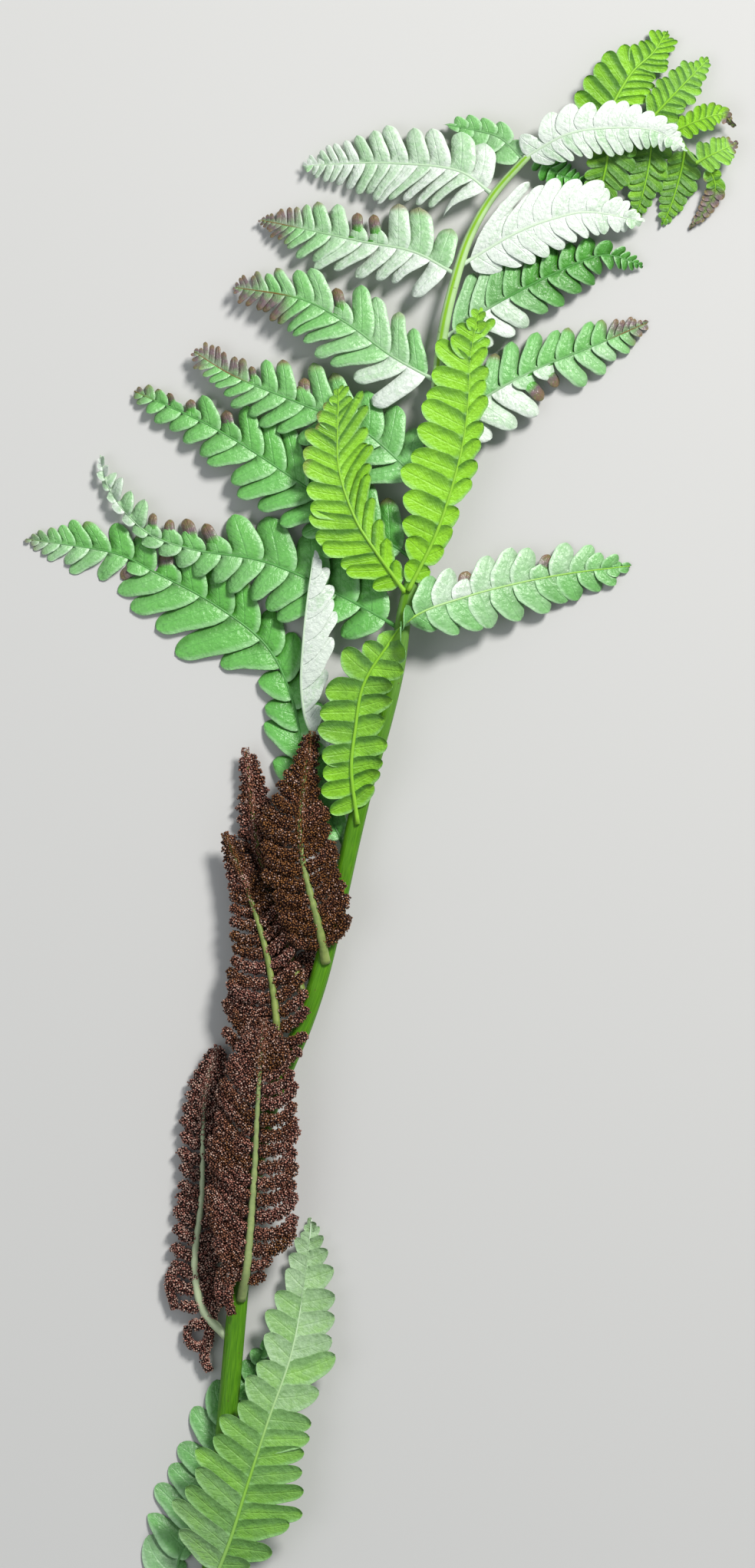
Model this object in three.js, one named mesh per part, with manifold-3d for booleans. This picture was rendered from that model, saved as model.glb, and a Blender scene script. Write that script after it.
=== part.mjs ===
// Cut frond of an interrupted fern, lying face up on a flat surface.
// Millimetres. X is to the right, Y runs up the frond from the cut stalk to its tip, Z is up.
// The origin is on the surface, under the middle of the frond.
//
// The frond is one stalk with its leaflets (pinnae), each a piece of its own:
// green lobed ones below and above, and brown spore-bearing ones in between.

import * as THREE from "three";
import Module from "manifold-3d";

// Blade of a green pinna
const BLADE = 0.7;
const RIB_RISE = 0.45;
const PETIOLE_HALF = 0.6;
const NOTCH = 0.24;
const SHOULDER = 0.74;
const SHOULDER_INSET = 0.07;
const TIP_AT = 0.55;
const TIP_HALF_WIDTH = 0.5;

// Distance between a pinna's foot and the stalk that carries it
const SEAT_GAP = 0.22;

// Stalk section
const STALK_SIDES = 8;
const STALK_CORNER = 1 / Math.cos(Math.PI / STALK_SIDES);

// Rib of a brown pinna, and the pinnules along it
const COSTA_SIDES = 4;
const COSTA_STEPS = 7;
const COSTA_RADII = [1.1, 0.45];
const COSTA_END = 0.985;
const FIRST_PINNULE = 0.09;
const LAST_PINNULE = 0.95;
const ROD_SIDES = 4;
const ROD_STEPS = 2;
const ROD_THICK = 2;
const ROD_THIN = 1.3;
const ROD_SINK = 0.7;
const ROD_FORM = [[0, 0.95], [0.5, 1.1], [1, 0.7]];

// A pinnule's outer half against its inner one, and how many degrees steeper the pinnules stand
// near the pinna's tip
const OUTER_HALF = 0.8;
const TIP_CLOSING = 20;
const CLOSING_FROM = 0.6;
const CLOSING_TO = 0.95;

// Degrees by which the lobes on the left and right lean towards the tip, along the length
const EVEN_SWEEP = [[0, 24, 24], [1, 24, 24]];

const GREEN = {
  upper: 0x8fd69a,
  back: 0x8ecb3a,
  pale: 0xdcecdc,
  stalk: 0x6fae1f,
};
const BROWN = 0x6b4a44;

// Centre line of the stalk: x, y, z and radius. It lies on the surface at its cut end.
const STALK = [
  [-45.5, -209.5, 2.75, 2.75],
  [-44.5, -199.5, 2.75, 2.75],
  [-43.6, -190, 2.75, 2.75],
  [-42.2, -176, 3.5, 2.7],
  [-39.4, -147.3, 5.3, 2.65],
  [-37.2, -122.9, 6.2, 2.6],
  [-35.4, -103.9, 6.6, 2.55],
  [-33, -87.5, 6.8, 2.5],
  [-30, -73.5, 7, 2.5],
  [-25.6, -61.5, 7.1, 2.5],
  [-20, -48.5, 7.2, 2.45],
  [-15.6, -35.5, 7.3, 2.4],
  [-11.2, -17.5, 7.4, 2.35],
  [-7.6, -1.5, 7.5, 2.3],
  [-3.7, 14.5, 7.6, 2.3],
  [1, 30.5, 7.8, 2.2],
  [4.4, 44.5, 7.9, 2.1],
  [6.4, 58.5, 8, 2],
  [9, 70.5, 8, 1.9],
  [11.6, 86.5, 8, 1.8],
  [13.6, 102.5, 8, 1.7],
  [15, 118.5, 8, 1.55],
  [16.6, 132.5, 7.8, 1.4],
  [19.4, 144.5, 7.6, 1.3],
  [23.4, 156.5, 7.3, 1.2],
  [29, 166.5, 7, 1.1],
  [35.4, 174.1, 6.6, 1],
  [41, 179.4, 6.3, 0.95],
  [49, 182.5, 6, 0.9],
  [61, 184.5, 5.5, 0.8],
  [70.2, 186.5, 5, 0.7],
  [76.4, 184.6, 4.6, 0.62],
  [79.6, 179.5, 4.2, 0.56],
  [82.8, 175.9, 4, 0.52],
  [88, 174.3, 3.8, 0.46],
];

// Green pinnae. The path runs from the foot to the tip: x, y, z.
// width: greatest half width left and right of the path, seen along it.
// roll: degrees by which the left side is raised, at the foot and at the tip.
// heel: the left lobes' share of their width at the foot.
// form, where given, replaces width and roll: part of the length, left, right, roll.
const GREEN_PINNAE = [
  {
    name: "pinna_left_0",
    path: [[36, 178, 6], [31, 182.5, 4.6], [25, 184.3, 4], [18.5, 185.5, 3.4]],
    form: [[0, 3, 2, 0], [0.25, 7.5, 4, 0], [0.55, 7, 4, 0], [0.8, 3, 3.5, 0], [1, 0.5, 0.5, 0]],
    lobes: 5,
  },
  {
    name: "pinna_left_1",
    path: [[27.5, 169, 6.6], [21, 173.4, 6.8], [3.2, 175.7, 5.2], [-9, 175.7, 3.8], [-20.4, 175.1, 2.6]],
    width: [10.2, 10.6],
    roll: [4, 2],
    heel: 1.25,
    sweep: [[0, 20, 12], [0.1, 26, 14], [0.18, 44, 16], [0.4, 40, 18], [0.65, 26, 20], [1, 22, 20]],
    lobes: 12,
  },
  {
    name: "pinna_left_2",
    path: [[19, 147.1, 7.4], [9, 152.5, 6.8], [-4.6, 155.3, 5.8], [-19, 158.5, 4.4], [-31.4, 161.1, 2.4]],
    width: [9.8, 11.2],
    roll: [4, 4],
    heel: 1.2,
    sweep: [[0, 5, 14], [0.09, 14, 14], [0.17, 38, 15], [1, 38, 18]],
    lobes: 12,
  },
  {
    name: "pinna_left_3",
    path: [[13.5, 119.5, 7.8], [3, 125.5, 8], [-8.4, 133.9, 7.6], [-19.8, 140.1, 6.6], [-37.8, 143.5, 4]],
    width: [11, 11],
    roll: [5, 4],
    heel: 1.28,
    sweep: [[0, 18, 36], [0.08, 24, 36], [0.16, 36, 36], [0.6, 35, 34], [1, 30, 24]],
    lobes: 12,
  },
  {
    name: "pinna_left_4",
    path: [[11, 92.5, 7.6], [-4.6, 106.3, 6.8], [-19, 112.5, 6.2], [-39, 120.9, 4.8], [-48.6, 126.9, 4]],
    width: [10.5, 11],
    roll: [5, 5],
    heel: 1.1,
    sweep: [[0, 35, 30], [1, 34, 26]],
    lobes: 12,
  },
  {
    name: "pinna_left_5",
    path: [[7, 73.5, 7.6], [-3, 80.5, 6.8], [-18.6, 91.1, 5.6], [-42.4, 106.5, 4], [-64.4, 116.7, 1.6]],
    width: [11.6, 10.6],
    roll: [5, 5],
    sweep: [[0, 33, 38], [1, 32, 36]],
    lobes: 13,
  },
  {
    name: "pinna_left_6",
    path: [
      [2, 55.5, 7.2], [-11, 63.7, 5.6], [-30.2, 72.1, 4.4], [-49.2, 75.4, 3.8],
      [-60.8, 79.7, 3.6], [-70.6, 91.1, 3], [-73, 100.3, 2.2],
    ],
    form: [
      [0, 6, 6, 4], [0.12, 12.5, 11, 5], [0.35, 11.5, 11.5, 5], [0.55, 7, 11, 4],
      [0.66, 3.8, 9, 0], [0.8, 2.2, 5, -20], [0.92, 1.8, 3.2, -25], [1, 0.5, 0.5, -25],
    ],
    lobes: 14,
  },
  {
    name: "pinna_left_7",
    path: [
      [-8.5, -3.5, 5.6], [-11.5, 2.5, 4.6], [-19, 18.5, 2.6], [-22.4, 34.9, 2], [-29, 49.5, 1.6],
      [-42.4, 60.5, 1.5], [-59.2, 69.7, 1.4], [-68.4, 74.1, 1.2], [-92.8, 78.1, 0.6],
    ],
    form: [
      [0, 3, 2, 0], [0.1, 5, 5, 0], [0.22, 9.5, 7, 0], [0.32, 6, 7, 0], [0.4, 8, 8.5, 0], [0.46, 16, 8.5, 0],
      [0.54, 15.5, 9.5, 0], [0.62, 12, 9.5, 0], [0.75, 8.5, 8.5, 0], [0.88, 5.5, 6, 0], [1, 0.5, 0.5, 0],
    ],
    sweep: [[0, 34, 26], [0.55, 34, 34], [1, 34, 28]],
    lobes: 15,
  },
  {
    name: "pinna_left_folded",
    path: [
      [-5.5, 18, 6.4], [-13, 23.5, 5.4], [-18.4, 28.8, 5], [-20.4, 38.5, 6.2],
      [-20, 50.5, 7.8], [-18.8, 62.5, 8.2], [-17.2, 73.5, 8.2],
    ],
    form: [
      [0, 1, 1, 0], [0.3, 1.4, 4, 0], [0.45, 1.2, 8, 0], [0.75, 1.2, 8, 0], [0.9, 1.1, 6, 0],
      [1, 0.5, 0.6, 0],
    ],
    lobes: 8,
    colour: GREEN.pale,
  },
  {
    name: "pinna_turned_left",
    path: [
      [4, 64.9, 10.6], [-1, 74.5, 11], [-6.2, 82.7, 10.8], [-10.6, 95.7, 10.2], [-11, 106.5, 9.9],
      [-10.6, 117.1, 9.6],
    ],
    form: [
      [0, 3, 2, 0], [0.12, 9, 4, 0], [0.25, 11, 6, 0], [0.45, 11, 9, 0], [0.65, 8.5, 8.5, 0],
      [0.85, 5, 5, 0], [1, 0.5, 0.5, 0],
    ],
    back: true,
    sweep: [[0, 22, 36], [0.5, 26, 40], [1, 24, 36]],
    lobes: 12,
  },
  {
    name: "pinna_turned_right",
    path: [
      [7.6, 64.9, 10.6], [14.2, 78.1, 11], [17.8, 88.1, 11], [21.4, 101.7, 10.8], [23, 113.3, 10.6],
      [23.8, 127.1, 10.4], [26, 137.7, 10.2],
    ],
    form: [
      [0, 2, 2, 0], [0.1, 5, 3, 0], [0.2, 9, 3.5, 0], [0.3, 12.5, 4, 0], [0.5, 13, 4.5, 0],
      [0.7, 11, 4.5, 0], [0.88, 6, 4, 0], [1, 0.5, 0.5, 0],
    ],
    back: true,
    sweep: [[0, 8, 36], [0.55, 8, 40], [0.7, 20, 38], [1, 24, 34]],
    lobes: 13,
  },
  {
    name: "pinna_right_0",
    path: [[42.4, 177.4, 4.6], [45.5, 173.6, 3.6], [50, 171.6, 2.8], [54, 171, 2.2]],
    width: [4.4, 4.4],
    roll: [0, 0],
    lobes: 5,
  },
  {
    name: "pinna_right_1",
    path: [
      [37.4, 177.6, 8.4], [48.6, 182.9, 9.4], [57.8, 184.5, 9.4], [71.4, 183.9, 8.7],
      [79.6, 179.2, 7.4],
    ],
    form: [
      [0, 5, 4, 8], [0.1, 5.5, 6.5, 6], [0.2, 7.2, 7.2, 0], [0.5, 7, 7, 0], [0.7, 5.6, 5.6, 0],
      [0.86, 3.2, 3.2, 0], [1, 0.5, 0.5, 0],
    ],
    sweep: [[0, -62, 24], [0.04, -60, 24], [0.14, 15, 24], [1, 24, 24]],
    lobes: 10,
    colour: GREEN.pale,
  },
  {
    name: "pinna_right_2",
    path: [[22.8, 149.1, 7.8], [35.6, 157.5, 8], [45, 161.1, 7.6], [54, 162.9, 6.8], [68.6, 160.5, 4.8]],
    form: [
      [0, 5, 3, 8], [0.04, 11.6, 5, 8], [0.12, 10.5, 8, 7], [0.22, 8.6, 8.6, 3], [0.34, 8.6, 8.6, -1],
      [0.5, 10, 8, -3], [0.65, 8.6, 7, -2], [0.8, 5.4, 5, -2],
      [0.92, 3, 3, -2], [1, 0.5, 0.5, -2],
    ],
    sweep: [[0, 59, 24], [0.12, 54, 24], [0.34, 42, 24], [0.5, 32, 24], [1, 28, 24]],
    lobes: 11,
    colour: GREEN.pale,
  },
  {
    name: "pinna_right_3",
    path: [[18.5, 130.5, 7.6], [27.6, 137.5, 7.2], [46.4, 147.5, 5], [58.6, 151.9, 3.4], [68.6, 149.1, 2.2]],
    form: [
      [0, 5, 5.4, -4], [0.06, 9.2, 8.1, -4], [0.19, 11, 9, -4], [0.33, 9.5, 9, -4], [0.45, 8, 8.6, -4],
      [0.65, 6.1, 6.8, -3], [0.82, 3.7, 4.1, -3], [0.94, 1.6, 1.8, -3], [1, 0.5, 0.5, -3],
    ],
    sweep: [[0, 50, 24], [0.1, 46, 24], [0.2, 36, 24], [0.35, 28, 24], [1, 24, 24]],
    lobes: 11,
  },
  {
    name: "pinna_right_4",
    path: [[15.8, 106.5, 7.6], [29.8, 116.3, 5.8], [41.4, 122.5, 4.4], [52.8, 127.1, 3], [70, 134.5, 0.8]],
    width: [9.2, 11],
    roll: [-4, -3],
    sweep: [[0, 32, 18], [1, 34, 22]],
    lobes: 11,
  },
  {
    name: "pinna_right_7",
    path: [
      [-5.6, 4.3, 10.8], [-7.4, 18.3, 11.6], [-6.4, 28.1, 12], [-4.4, 39.5, 12.8], [1, 48.5, 13.6],
      [9, 57.5, 13.2], [22, 62.7, 9.4], [35.4, 66.3, 5.6], [48.6, 68.9, 2.8], [65.8, 71.1, 0.6],
    ],
    form: [
      [0, 3, 3, 180], [0.08, 7.5, 8, 180], [0.3, 8.5, 9, 180], [0.4, 5, 5, 165], [0.46, 2.6, 2.6, 90],
      [0.5, 6.5, 5.5, 15], [0.56, 10, 9, 0], [0.8, 8.5, 8, 0], [0.93, 3.5, 3.5, 0], [1, 0.5, 0.5, 0],
    ],
    sweep: [[0, 20, -6], [0.3, 24, -4], [0.46, 30, 20], [1, 30, 22]],
    lobes: 15,
    colour: GREEN.back,
  },
  {
    name: "pinna_tip_1",
    path: [[57, 185.6, 5], [65.6, 199.3, 3.2], [71.4, 204.9, 1.6], [74.6, 210, 0.6]],
    form: [
      [0, 7.5, 5, 0], [0.1, 9.6, 6.4, 0], [0.25, 9, 6.4, 0], [0.45, 8, 6.2, 0], [0.7, 5.2, 4.8, 0],
      [0.88, 3, 3, 0], [1, 0.5, 0.5, 0],
    ],
    back: true,
    lobes: 9,
  },
  {
    name: "pinna_tip_2",
    path: [[70.4, 188, 5.8], [77, 194.1, 5], [82, 199.3, 3.8], [85.6, 203, 2.6]],
    width: [5.6, 5.2],
    roll: [0, 0],
    back: true,
    lobes: 8,
  },
  {
    name: "pinna_tip_3",
    path: [[78.2, 185.2, 4.8], [84, 187.2, 5.6], [89, 188.3, 5], [91.8, 185.9, 4]],
    width: [3.4, 3.4],
    roll: [0, 0],
    back: true,
    lobes: 6,
  },
  {
    name: "pinna_tip_4",
    path: [[83.2, 176.6, 5.4], [87.2, 178.3, 5.3], [92.6, 180.9, 4]],
    width: [4.2, 4.2],
    roll: [0, 0],
    back: true,
    lobes: 6,
  },
  {
    name: "pinna_tip_5",
    path: [[60.4, 183.4, 5], [58.9, 175, 4.4], [57.4, 169, 3.2], [56, 165, 2.6]],
    width: [7, 5],
    roll: [0, 0],
    back: true,
    lobes: 8,
  },
  {
    name: "pinna_tip_6",
    path: [[70.4, 185.6, 3], [70.6, 179, 2.4], [68.4, 167.5, 2.2], [66.2, 160.5, 1.8]],
    width: [4.9, 5],
    roll: [0, 0],
    back: true,
    lobes: 8,
  },
  {
    name: "pinna_tip_7",
    path: [[78.9, 179, 3], [78.4, 173.5, 0.8], [75.8, 164.7, 0.6], [73.8, 160, 0.5]],
    width: [4.8, 4.6],
    roll: [0, 0],
    back: true,
    lobes: 8,
  },
  {
    name: "pinna_tip_8",
    path: [[85.6, 174, 3.4], [87.4, 169.1, 2.2], [84.6, 163.5, 1.2], [81, 159.3, 0.7]],
    width: [2.6, 2.4],
    roll: [0, 0],
    back: true,
    lobes: 6,
  },
  {
    name: "pinna_lower_right",
    path: [
      [-43, -193.5, 6.2], [-38.8, -181.9, 8.2], [-35, -169.7, 9.4], [-29.2, -151.7, 9.4],
      [-22.8, -133.1, 7], [-19, -110.7, 3], [-17.8, -98.8, 1.2],
    ],
    form: [
      [0, 6, 5, 0], [0.07, 15, 9, 0], [0.15, 17, 13, 0], [0.24, 14.5, 15, 0], [0.35, 11.5, 13, 0],
      [0.5, 8.5, 10, 0], [0.68, 8.4, 10.6, 0], [0.85, 5, 6, 0], [1, 0.5, 0.5, 0],
    ],
    back: true,
    sweep: [[0, 14, 16], [0.3, 24, 20], [1, 28, 30]],
    lobes: 15,
  },
  {
    name: "pinna_lower_left",
    path: [
      [-48.4, -204, 1.6], [-52.6, -190.1, 1], [-48.8, -179.3, 0.9], [-42.4, -157.5, 0.9],
      [-38.8, -147.3, 0.9], [-33.6, -140.7, 0.9], [-29.2, -130.5, 0.8],
    ],
    form: [
      [0, 4, 1, 0], [0.1, 9, 2, 0], [0.3, 12, 2.4, 0], [0.55, 10, 3.5, 0], [0.75, 6.5, 5, 0],
      [0.9, 4, 4, 0], [1, 0.5, 0.5, 0],
    ],
    lobes: 11,
  },
];

// Brown pinnae. The path runs from the foot to the tip.
// reach: part of the length, then how far the pinnules stand out left and right.
// raise: degrees that each side is tilted.
// bends: for each side, the angles of a pinnule's inner and outer half from square to the rib.
// loose: pinnules that hang from the foot, as paths.
const BROWN_PINNAE = [
  {
    name: "fertile_pinna_1",
    path: [
      [-13.8, -32, 10.6], [-15.6, -23.7, 12.6], [-19.6, -7.9, 12.4], [-20.8, 1.5, 11.6],
      [-20, 12.5, 10], [-17.6, 27.7, 8.2],
    ],
    reach: [
      [0, 6, 6], [0.15, 8.4, 8.4], [0.35, 9.4, 8], [0.55, 9, 6.8], [0.67, 6.2, 4.2], [0.8, 3.6, 2.6],
      [1, 2, 2],
    ],
    raise: [5, 3],
    bends: [[4, 64], [16, 72]],
    pinnules: 12,
  },
  {
    name: "fertile_pinna_2",
    path: [[-20, -41.5, 6.6], [-25, -25.5, 4.6], [-29.6, -11.5, 3.6], [-32.6, 2.5, 3.2], [-35, 23.5, 3.2]],
    reach: [[0, 5, 5], [0.3, 6.5, 7], [0.6, 4.4, 5.8], [0.74, 2.8, 4.4], [0.86, 2, 2.6], [1, 1.8, 1.8]],
    raise: [-2, -2],
    bends: [[8, 58], [8, 58]],
    pinnules: 10,
  },
  {
    name: "fertile_pinna_3",
    path: [
      [-28.5, -62, 9], [-27.8, -57.5, 11.3], [-26.8, -50.1, 11.4], [-29, -31.9, 9.8],
      [-33, -17.5, 8], [-40.2, 1.5, 6.8],
    ],
    reach: [
      [0, 11, 6], [0.15, 14, 7.6], [0.27, 12.2, 7.6], [0.4, 9.8, 7.2], [0.54, 7.4, 6.2],
      [0.7, 4.6, 4.8], [0.84, 2.6, 2.8], [1, 2, 2],
    ],
    raise: [-12, 11],
    bends: [[2, 62], [14, 56]],
    pinnules: 11,
  },
  {
    name: "fertile_pinna_4",
    path: [
      [-35.6, -119.5, 9.6], [-34.6, -112, 12.9], [-33.8, -103.9, 13], [-32.4, -83.9, 13.2],
      [-31.8, -70.7, 14.4], [-30.2, -46.5, 16],
    ],
    reach: [
      [0, 6, 2], [0.1, 10, 4.4], [0.17, 11, 5.6], [0.2, 11, 11], [0.4, 11, 10.4], [0.62, 9.4, 9.4],
      [0.75, 7, 7.6], [0.86, 3.8, 4.8], [1, 2, 2],
    ],
    raise: [-10, -4],
    bends: [[34, 62], [-8, 78]],
    pinnules: 12,
    loose: [
      [[-34.8, -107, 12.3], [-39.5, -110.5, 11.2], [-41.8, -116, 9.6], [-40.8, -121.5, 9.2]],
      [[-35.2, -111.5, 12], [-38.6, -114.5, 11.4], [-39.4, -119.5, 11], [-38.4, -123.5, 10.8]],
    ],
  },
  {
    name: "fertile_pinna_5",
    path: [
      [-40.4, -129.3, 5], [-45.8, -123.1, 3.8], [-48.2, -112, 3], [-46.4, -93.5, 2.9],
      [-45.4, -65.5, 3], [-42.2, -53.9, 3.2],
    ],
    reach: [[0, 3, 3], [0.2, 5.4, 6], [0.4, 5.4, 6.6], [0.7, 4.8, 5.6], [0.86, 2.8, 3], [1, 1.8, 1.8]],
    raise: [-2, -2],
    bends: [[2, 66], [24, 62]],
    pinnules: 10,
    loose: [
      [[-47.6, -114.5, 2.8], [-52.6, -111.5, 2.6], [-54.8, -115.3, 2], [-53.4, -122.5, 1.6]],
      [
        [-44.2, -125.6, 3.4], [-44.8, -130.6, 2.6], [-47.2, -132.4, 2.1], [-49.8, -131, 1.9],
        [-50, -127, 1.8],
      ],
      [[-44.6, -130.4, 2.6], [-45.8, -135.1, 1.9], [-44.4, -138.7, 1.6]],
    ],
  },
];

const UP = new THREE.Vector3(0, 0, 1);

const wasm = await Module();
wasm.setup();

function radians(degrees) {
  return THREE.MathUtils.degToRad(degrees);
}

function curveThrough(points) {
  const knots = points.map(([x, y, z]) => new THREE.Vector3(x, y, z));
  return new THREE.CatmullRomCurve3(knots, false, "centripetal");
}

// Value of a table's columns at t, where the first column is t.
function columnsAt(table, t) {
  let row = 1;
  while (row < table.length - 1 && table[row][0] < t) {
    row += 1;
  }
  const [low, high] = [table[row - 1], table[row]];
  const share = THREE.MathUtils.clamp((t - low[0]) / (high[0] - low[0]), 0, 1);
  return low.slice(1).map((value, column) => value + share * (high[column + 1] - value));
}

// Frame with its directions along a path, to its left and away from the blade's upper face.
function frameAlong(origin, along, roll) {
  const level = new THREE.Vector3().crossVectors(UP, along).normalize();
  const above = new THREE.Vector3().crossVectors(along, level);
  const turn = radians(roll);
  const left = level.clone().multiplyScalar(Math.cos(turn)).addScaledVector(above, Math.sin(turn));
  const normal = above.multiplyScalar(Math.cos(turn)).addScaledVector(level, -Math.sin(turn));
  return { origin, along, left, normal };
}

// Frame at a share t of a curve's length, which goes straight on past its ends.
function frameAt(curve, t, roll = 0) {
  const inside = THREE.MathUtils.clamp(t, 0, 1);
  const along = curve.getTangentAt(inside);
  const origin = curve.getPointAt(inside).addScaledVector(along, (t - inside) * curve.getLength());
  return frameAlong(origin, along, roll);
}

const stalkCurve = curveThrough(STALK);

// The stalk's radius, from the same rows as its centre line.
function stalkRadius(share) {
  const place = share * (STALK.length - 1);
  const row = Math.min(Math.floor(place), STALK.length - 2);
  return THREE.MathUtils.lerp(STALK[row][3], STALK[row + 1][3], place - row);
}

// Moves a foot point to the stalk's surface, a small gap away from it.
// half: the foot's extent sideways, above and below its centre.
function seatOnStalk([[x, y, z], next], half) {
  const foot = new THREE.Vector3(x, y, z);
  const leaving = new THREE.Vector3(...next).sub(foot).normalize();
  const samples = 800;
  let nearest = { distance: Infinity };
  for (let i = 0; i <= samples; i += 1) {
    const centre = stalkCurve.getPoint(i / samples);
    const distance = centre.distanceTo(foot);
    if (distance < nearest.distance) {
      nearest = { distance, centre, t: i / samples };
    }
  }
  const outward = foot.sub(nearest.centre).normalize();
  const { left, normal } = frameAlong(foot, leaving, 0);
  const rise = normal.dot(outward);
  const ownReach = half.side * Math.abs(left.dot(outward)) + Math.max(half.below * rise, -half.above * rise);
  const reach = stalkRadius(nearest.t) * STALK_CORNER + SEAT_GAP + ownReach;
  return nearest.centre.clone().addScaledVector(outward, reach).toArray();
}

function geometryFrom(positions, triangles) {
  const geometry = new THREE.BufferGeometry();
  geometry.setAttribute("position", new THREE.Float32BufferAttribute(positions, 3));
  geometry.setIndex(triangles);
  geometry.computeVertexNormals();
  return geometry;
}

// Closed tube through rings of points, with a fan at each end.
function loft(rings) {
  const sides = rings[0].length;
  const positions = rings.flat().flatMap((point) => point.toArray());
  const triangles = [];
  for (let ring = 0; ring < rings.length - 1; ring += 1) {
    for (let side = 0; side < sides; side += 1) {
      const next = (side + 1) % sides;
      const [a, b] = [ring * sides + side, ring * sides + next];
      const [c, d] = [a + sides, b + sides];
      triangles.push(a, b, d, a, d, c);
    }
  }
  const last = (rings.length - 1) * sides;
  for (let side = 1; side < sides - 1; side += 1) {
    triangles.push(0, side + 1, side);
    triangles.push(last, last + side, last + side + 1);
  }
  return geometryFrom(positions, triangles);
}

// Ring of points round a frame, with flats that touch the given radius.
function ringAt({ origin, left, normal }, radius, sides, turn) {
  const corner = radius / Math.cos(Math.PI / sides);
  return Array.from({ length: sides }, (_, side) => {
    const angle = turn + (2 * Math.PI * side) / sides;
    return origin
      .clone()
      .addScaledVector(left, -corner * Math.cos(angle))
      .addScaledVector(normal, corner * Math.sin(angle));
  });
}

// The stalk has one ring at each row, with a flat below, on which its cut end lies.
function stalkGeometry() {
  const flatBelow = Math.PI / STALK_SIDES;
  const rings = STALK.map(([, , , radius], row) => {
    const share = row / (STALK.length - 1);
    const frame = frameAlong(stalkCurve.getPoint(share), stalkCurve.getTangent(share), 0);
    return ringAt(frame, radius, STALK_SIDES, flatBelow).reverse();
  });
  rings.flat().forEach((point) => point.setZ(Math.max(point.z, 0)));
  return loft(rings);
}

// Half widths and roll of a green pinna along its length.
function formOf({ form, width, roll, heel }) {
  if (form) {
    return form;
  }
  const [left, right] = width;
  const tilt = (t) => THREE.MathUtils.lerp(roll[0], roll[1], t);
  const outline = [[0, 0.6], [0.05, 0.9], [0.15, 1], [0.45, 0.96], [0.65, 0.76], [0.82, 0.46], [0.94, 0.2]];
  const rows = outline.map(([t, share]) => {
    const leftShare = t < 0.1 ? (heel ?? share) : share;
    return [t, left * leftShare, right * share, tilt(t)];
  });
  return [...rows, [1, TIP_HALF_WIDTH, TIP_HALF_WIDTH, roll[1]]];
}

// Places of the notches: lobes get narrower towards the tip.
function notchPlaces(lobes) {
  const first = 0.03;
  const last = 0.975;
  const narrowing = 0.62;
  return Array.from({ length: lobes + 1 }, (_, i) => {
    const share = i / lobes;
    return first + (last - first) * (share + narrowing * 0.5 * share * (1 - share));
  });
}

// One thin arched blade, cut to near its rib on both sides. Both faces have the same triangles.
function bladeGeometry(pinna) {
  const { path, lobes, back = false, sweep = EVEN_SWEEP, droop = 0.9 } = pinna;
  const [ribbed, plain] = [BLADE / 2 + RIB_RISE, BLADE / 2];
  const [above, below] = back ? [ribbed, plain] : [plain, ribbed];
  const foot = seatOnStalk(path, { side: PETIOLE_HALF, above, below });
  const curve = curveThrough([foot, ...path.slice(1)]);
  const length = curve.getLength();
  const form = formOf(pinna);
  const faces = [[], []];
  const points = [];

  const addPoint = (t, side, height) => {
    const column = side > 0 ? 0 : 1;
    const row = columnsAt(form, t);
    const half = row[column];
    const out = height * half;
    const lean = Math.tan(radians(columnsAt(sweep, t)[column])) / length;
    const frame = frameAt(curve, t + out * lean, row[2]);
    const middle = frame.origin
      .addScaledVector(frame.left, side * out)
      .addScaledVector(frame.normal, -droop * height * height * Math.min(1, half / 8) * (back ? -1 : 1));
    points.push({ middle, normal: frame.normal, rib: height === 0 });
    return points.length - 1;
  };

  const addTriangle = (side, a, b, c) => {
    faces[0].push(...(side > 0 ? [a, b, c] : [a, c, b]));
  };

  const places = notchPlaces(lobes);
  const costa = [0, ...places].map((t) => addPoint(t, 1, 0));
  const tip = addPoint(1, 1, 0);
  for (const side of [1, -1]) {
    const footWidth = PETIOLE_HALF / columnsAt(form, 0)[side > 0 ? 0 : 1];
    const edge = [addPoint(0, side, footWidth), ...places.map((t) => addPoint(t, side, NOTCH))];
    for (let i = 0; i <= lobes; i += 1) {
      addTriangle(side, costa[i], costa[i + 1], edge[i + 1]);
      addTriangle(side, costa[i], edge[i + 1], edge[i]);
    }
    addTriangle(side, costa[lobes + 1], tip, edge[lobes + 1]);
    for (let i = 0; i < lobes; i += 1) {
      const [start, end] = [places[i], places[i + 1]];
      const across = (share) => THREE.MathUtils.lerp(start, end, share);
      const near = addPoint(across(SHOULDER_INSET), side, SHOULDER);
      const far = addPoint(across(1 - SHOULDER_INSET), side, SHOULDER);
      const top = addPoint(across(TIP_AT), side, 1);
      addTriangle(side, edge[i + 1], edge[i + 2], far);
      addTriangle(side, edge[i + 1], far, near);
      addTriangle(side, near, far, top);
    }
  }
  return thicken(points, faces[0], back);
}

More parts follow.
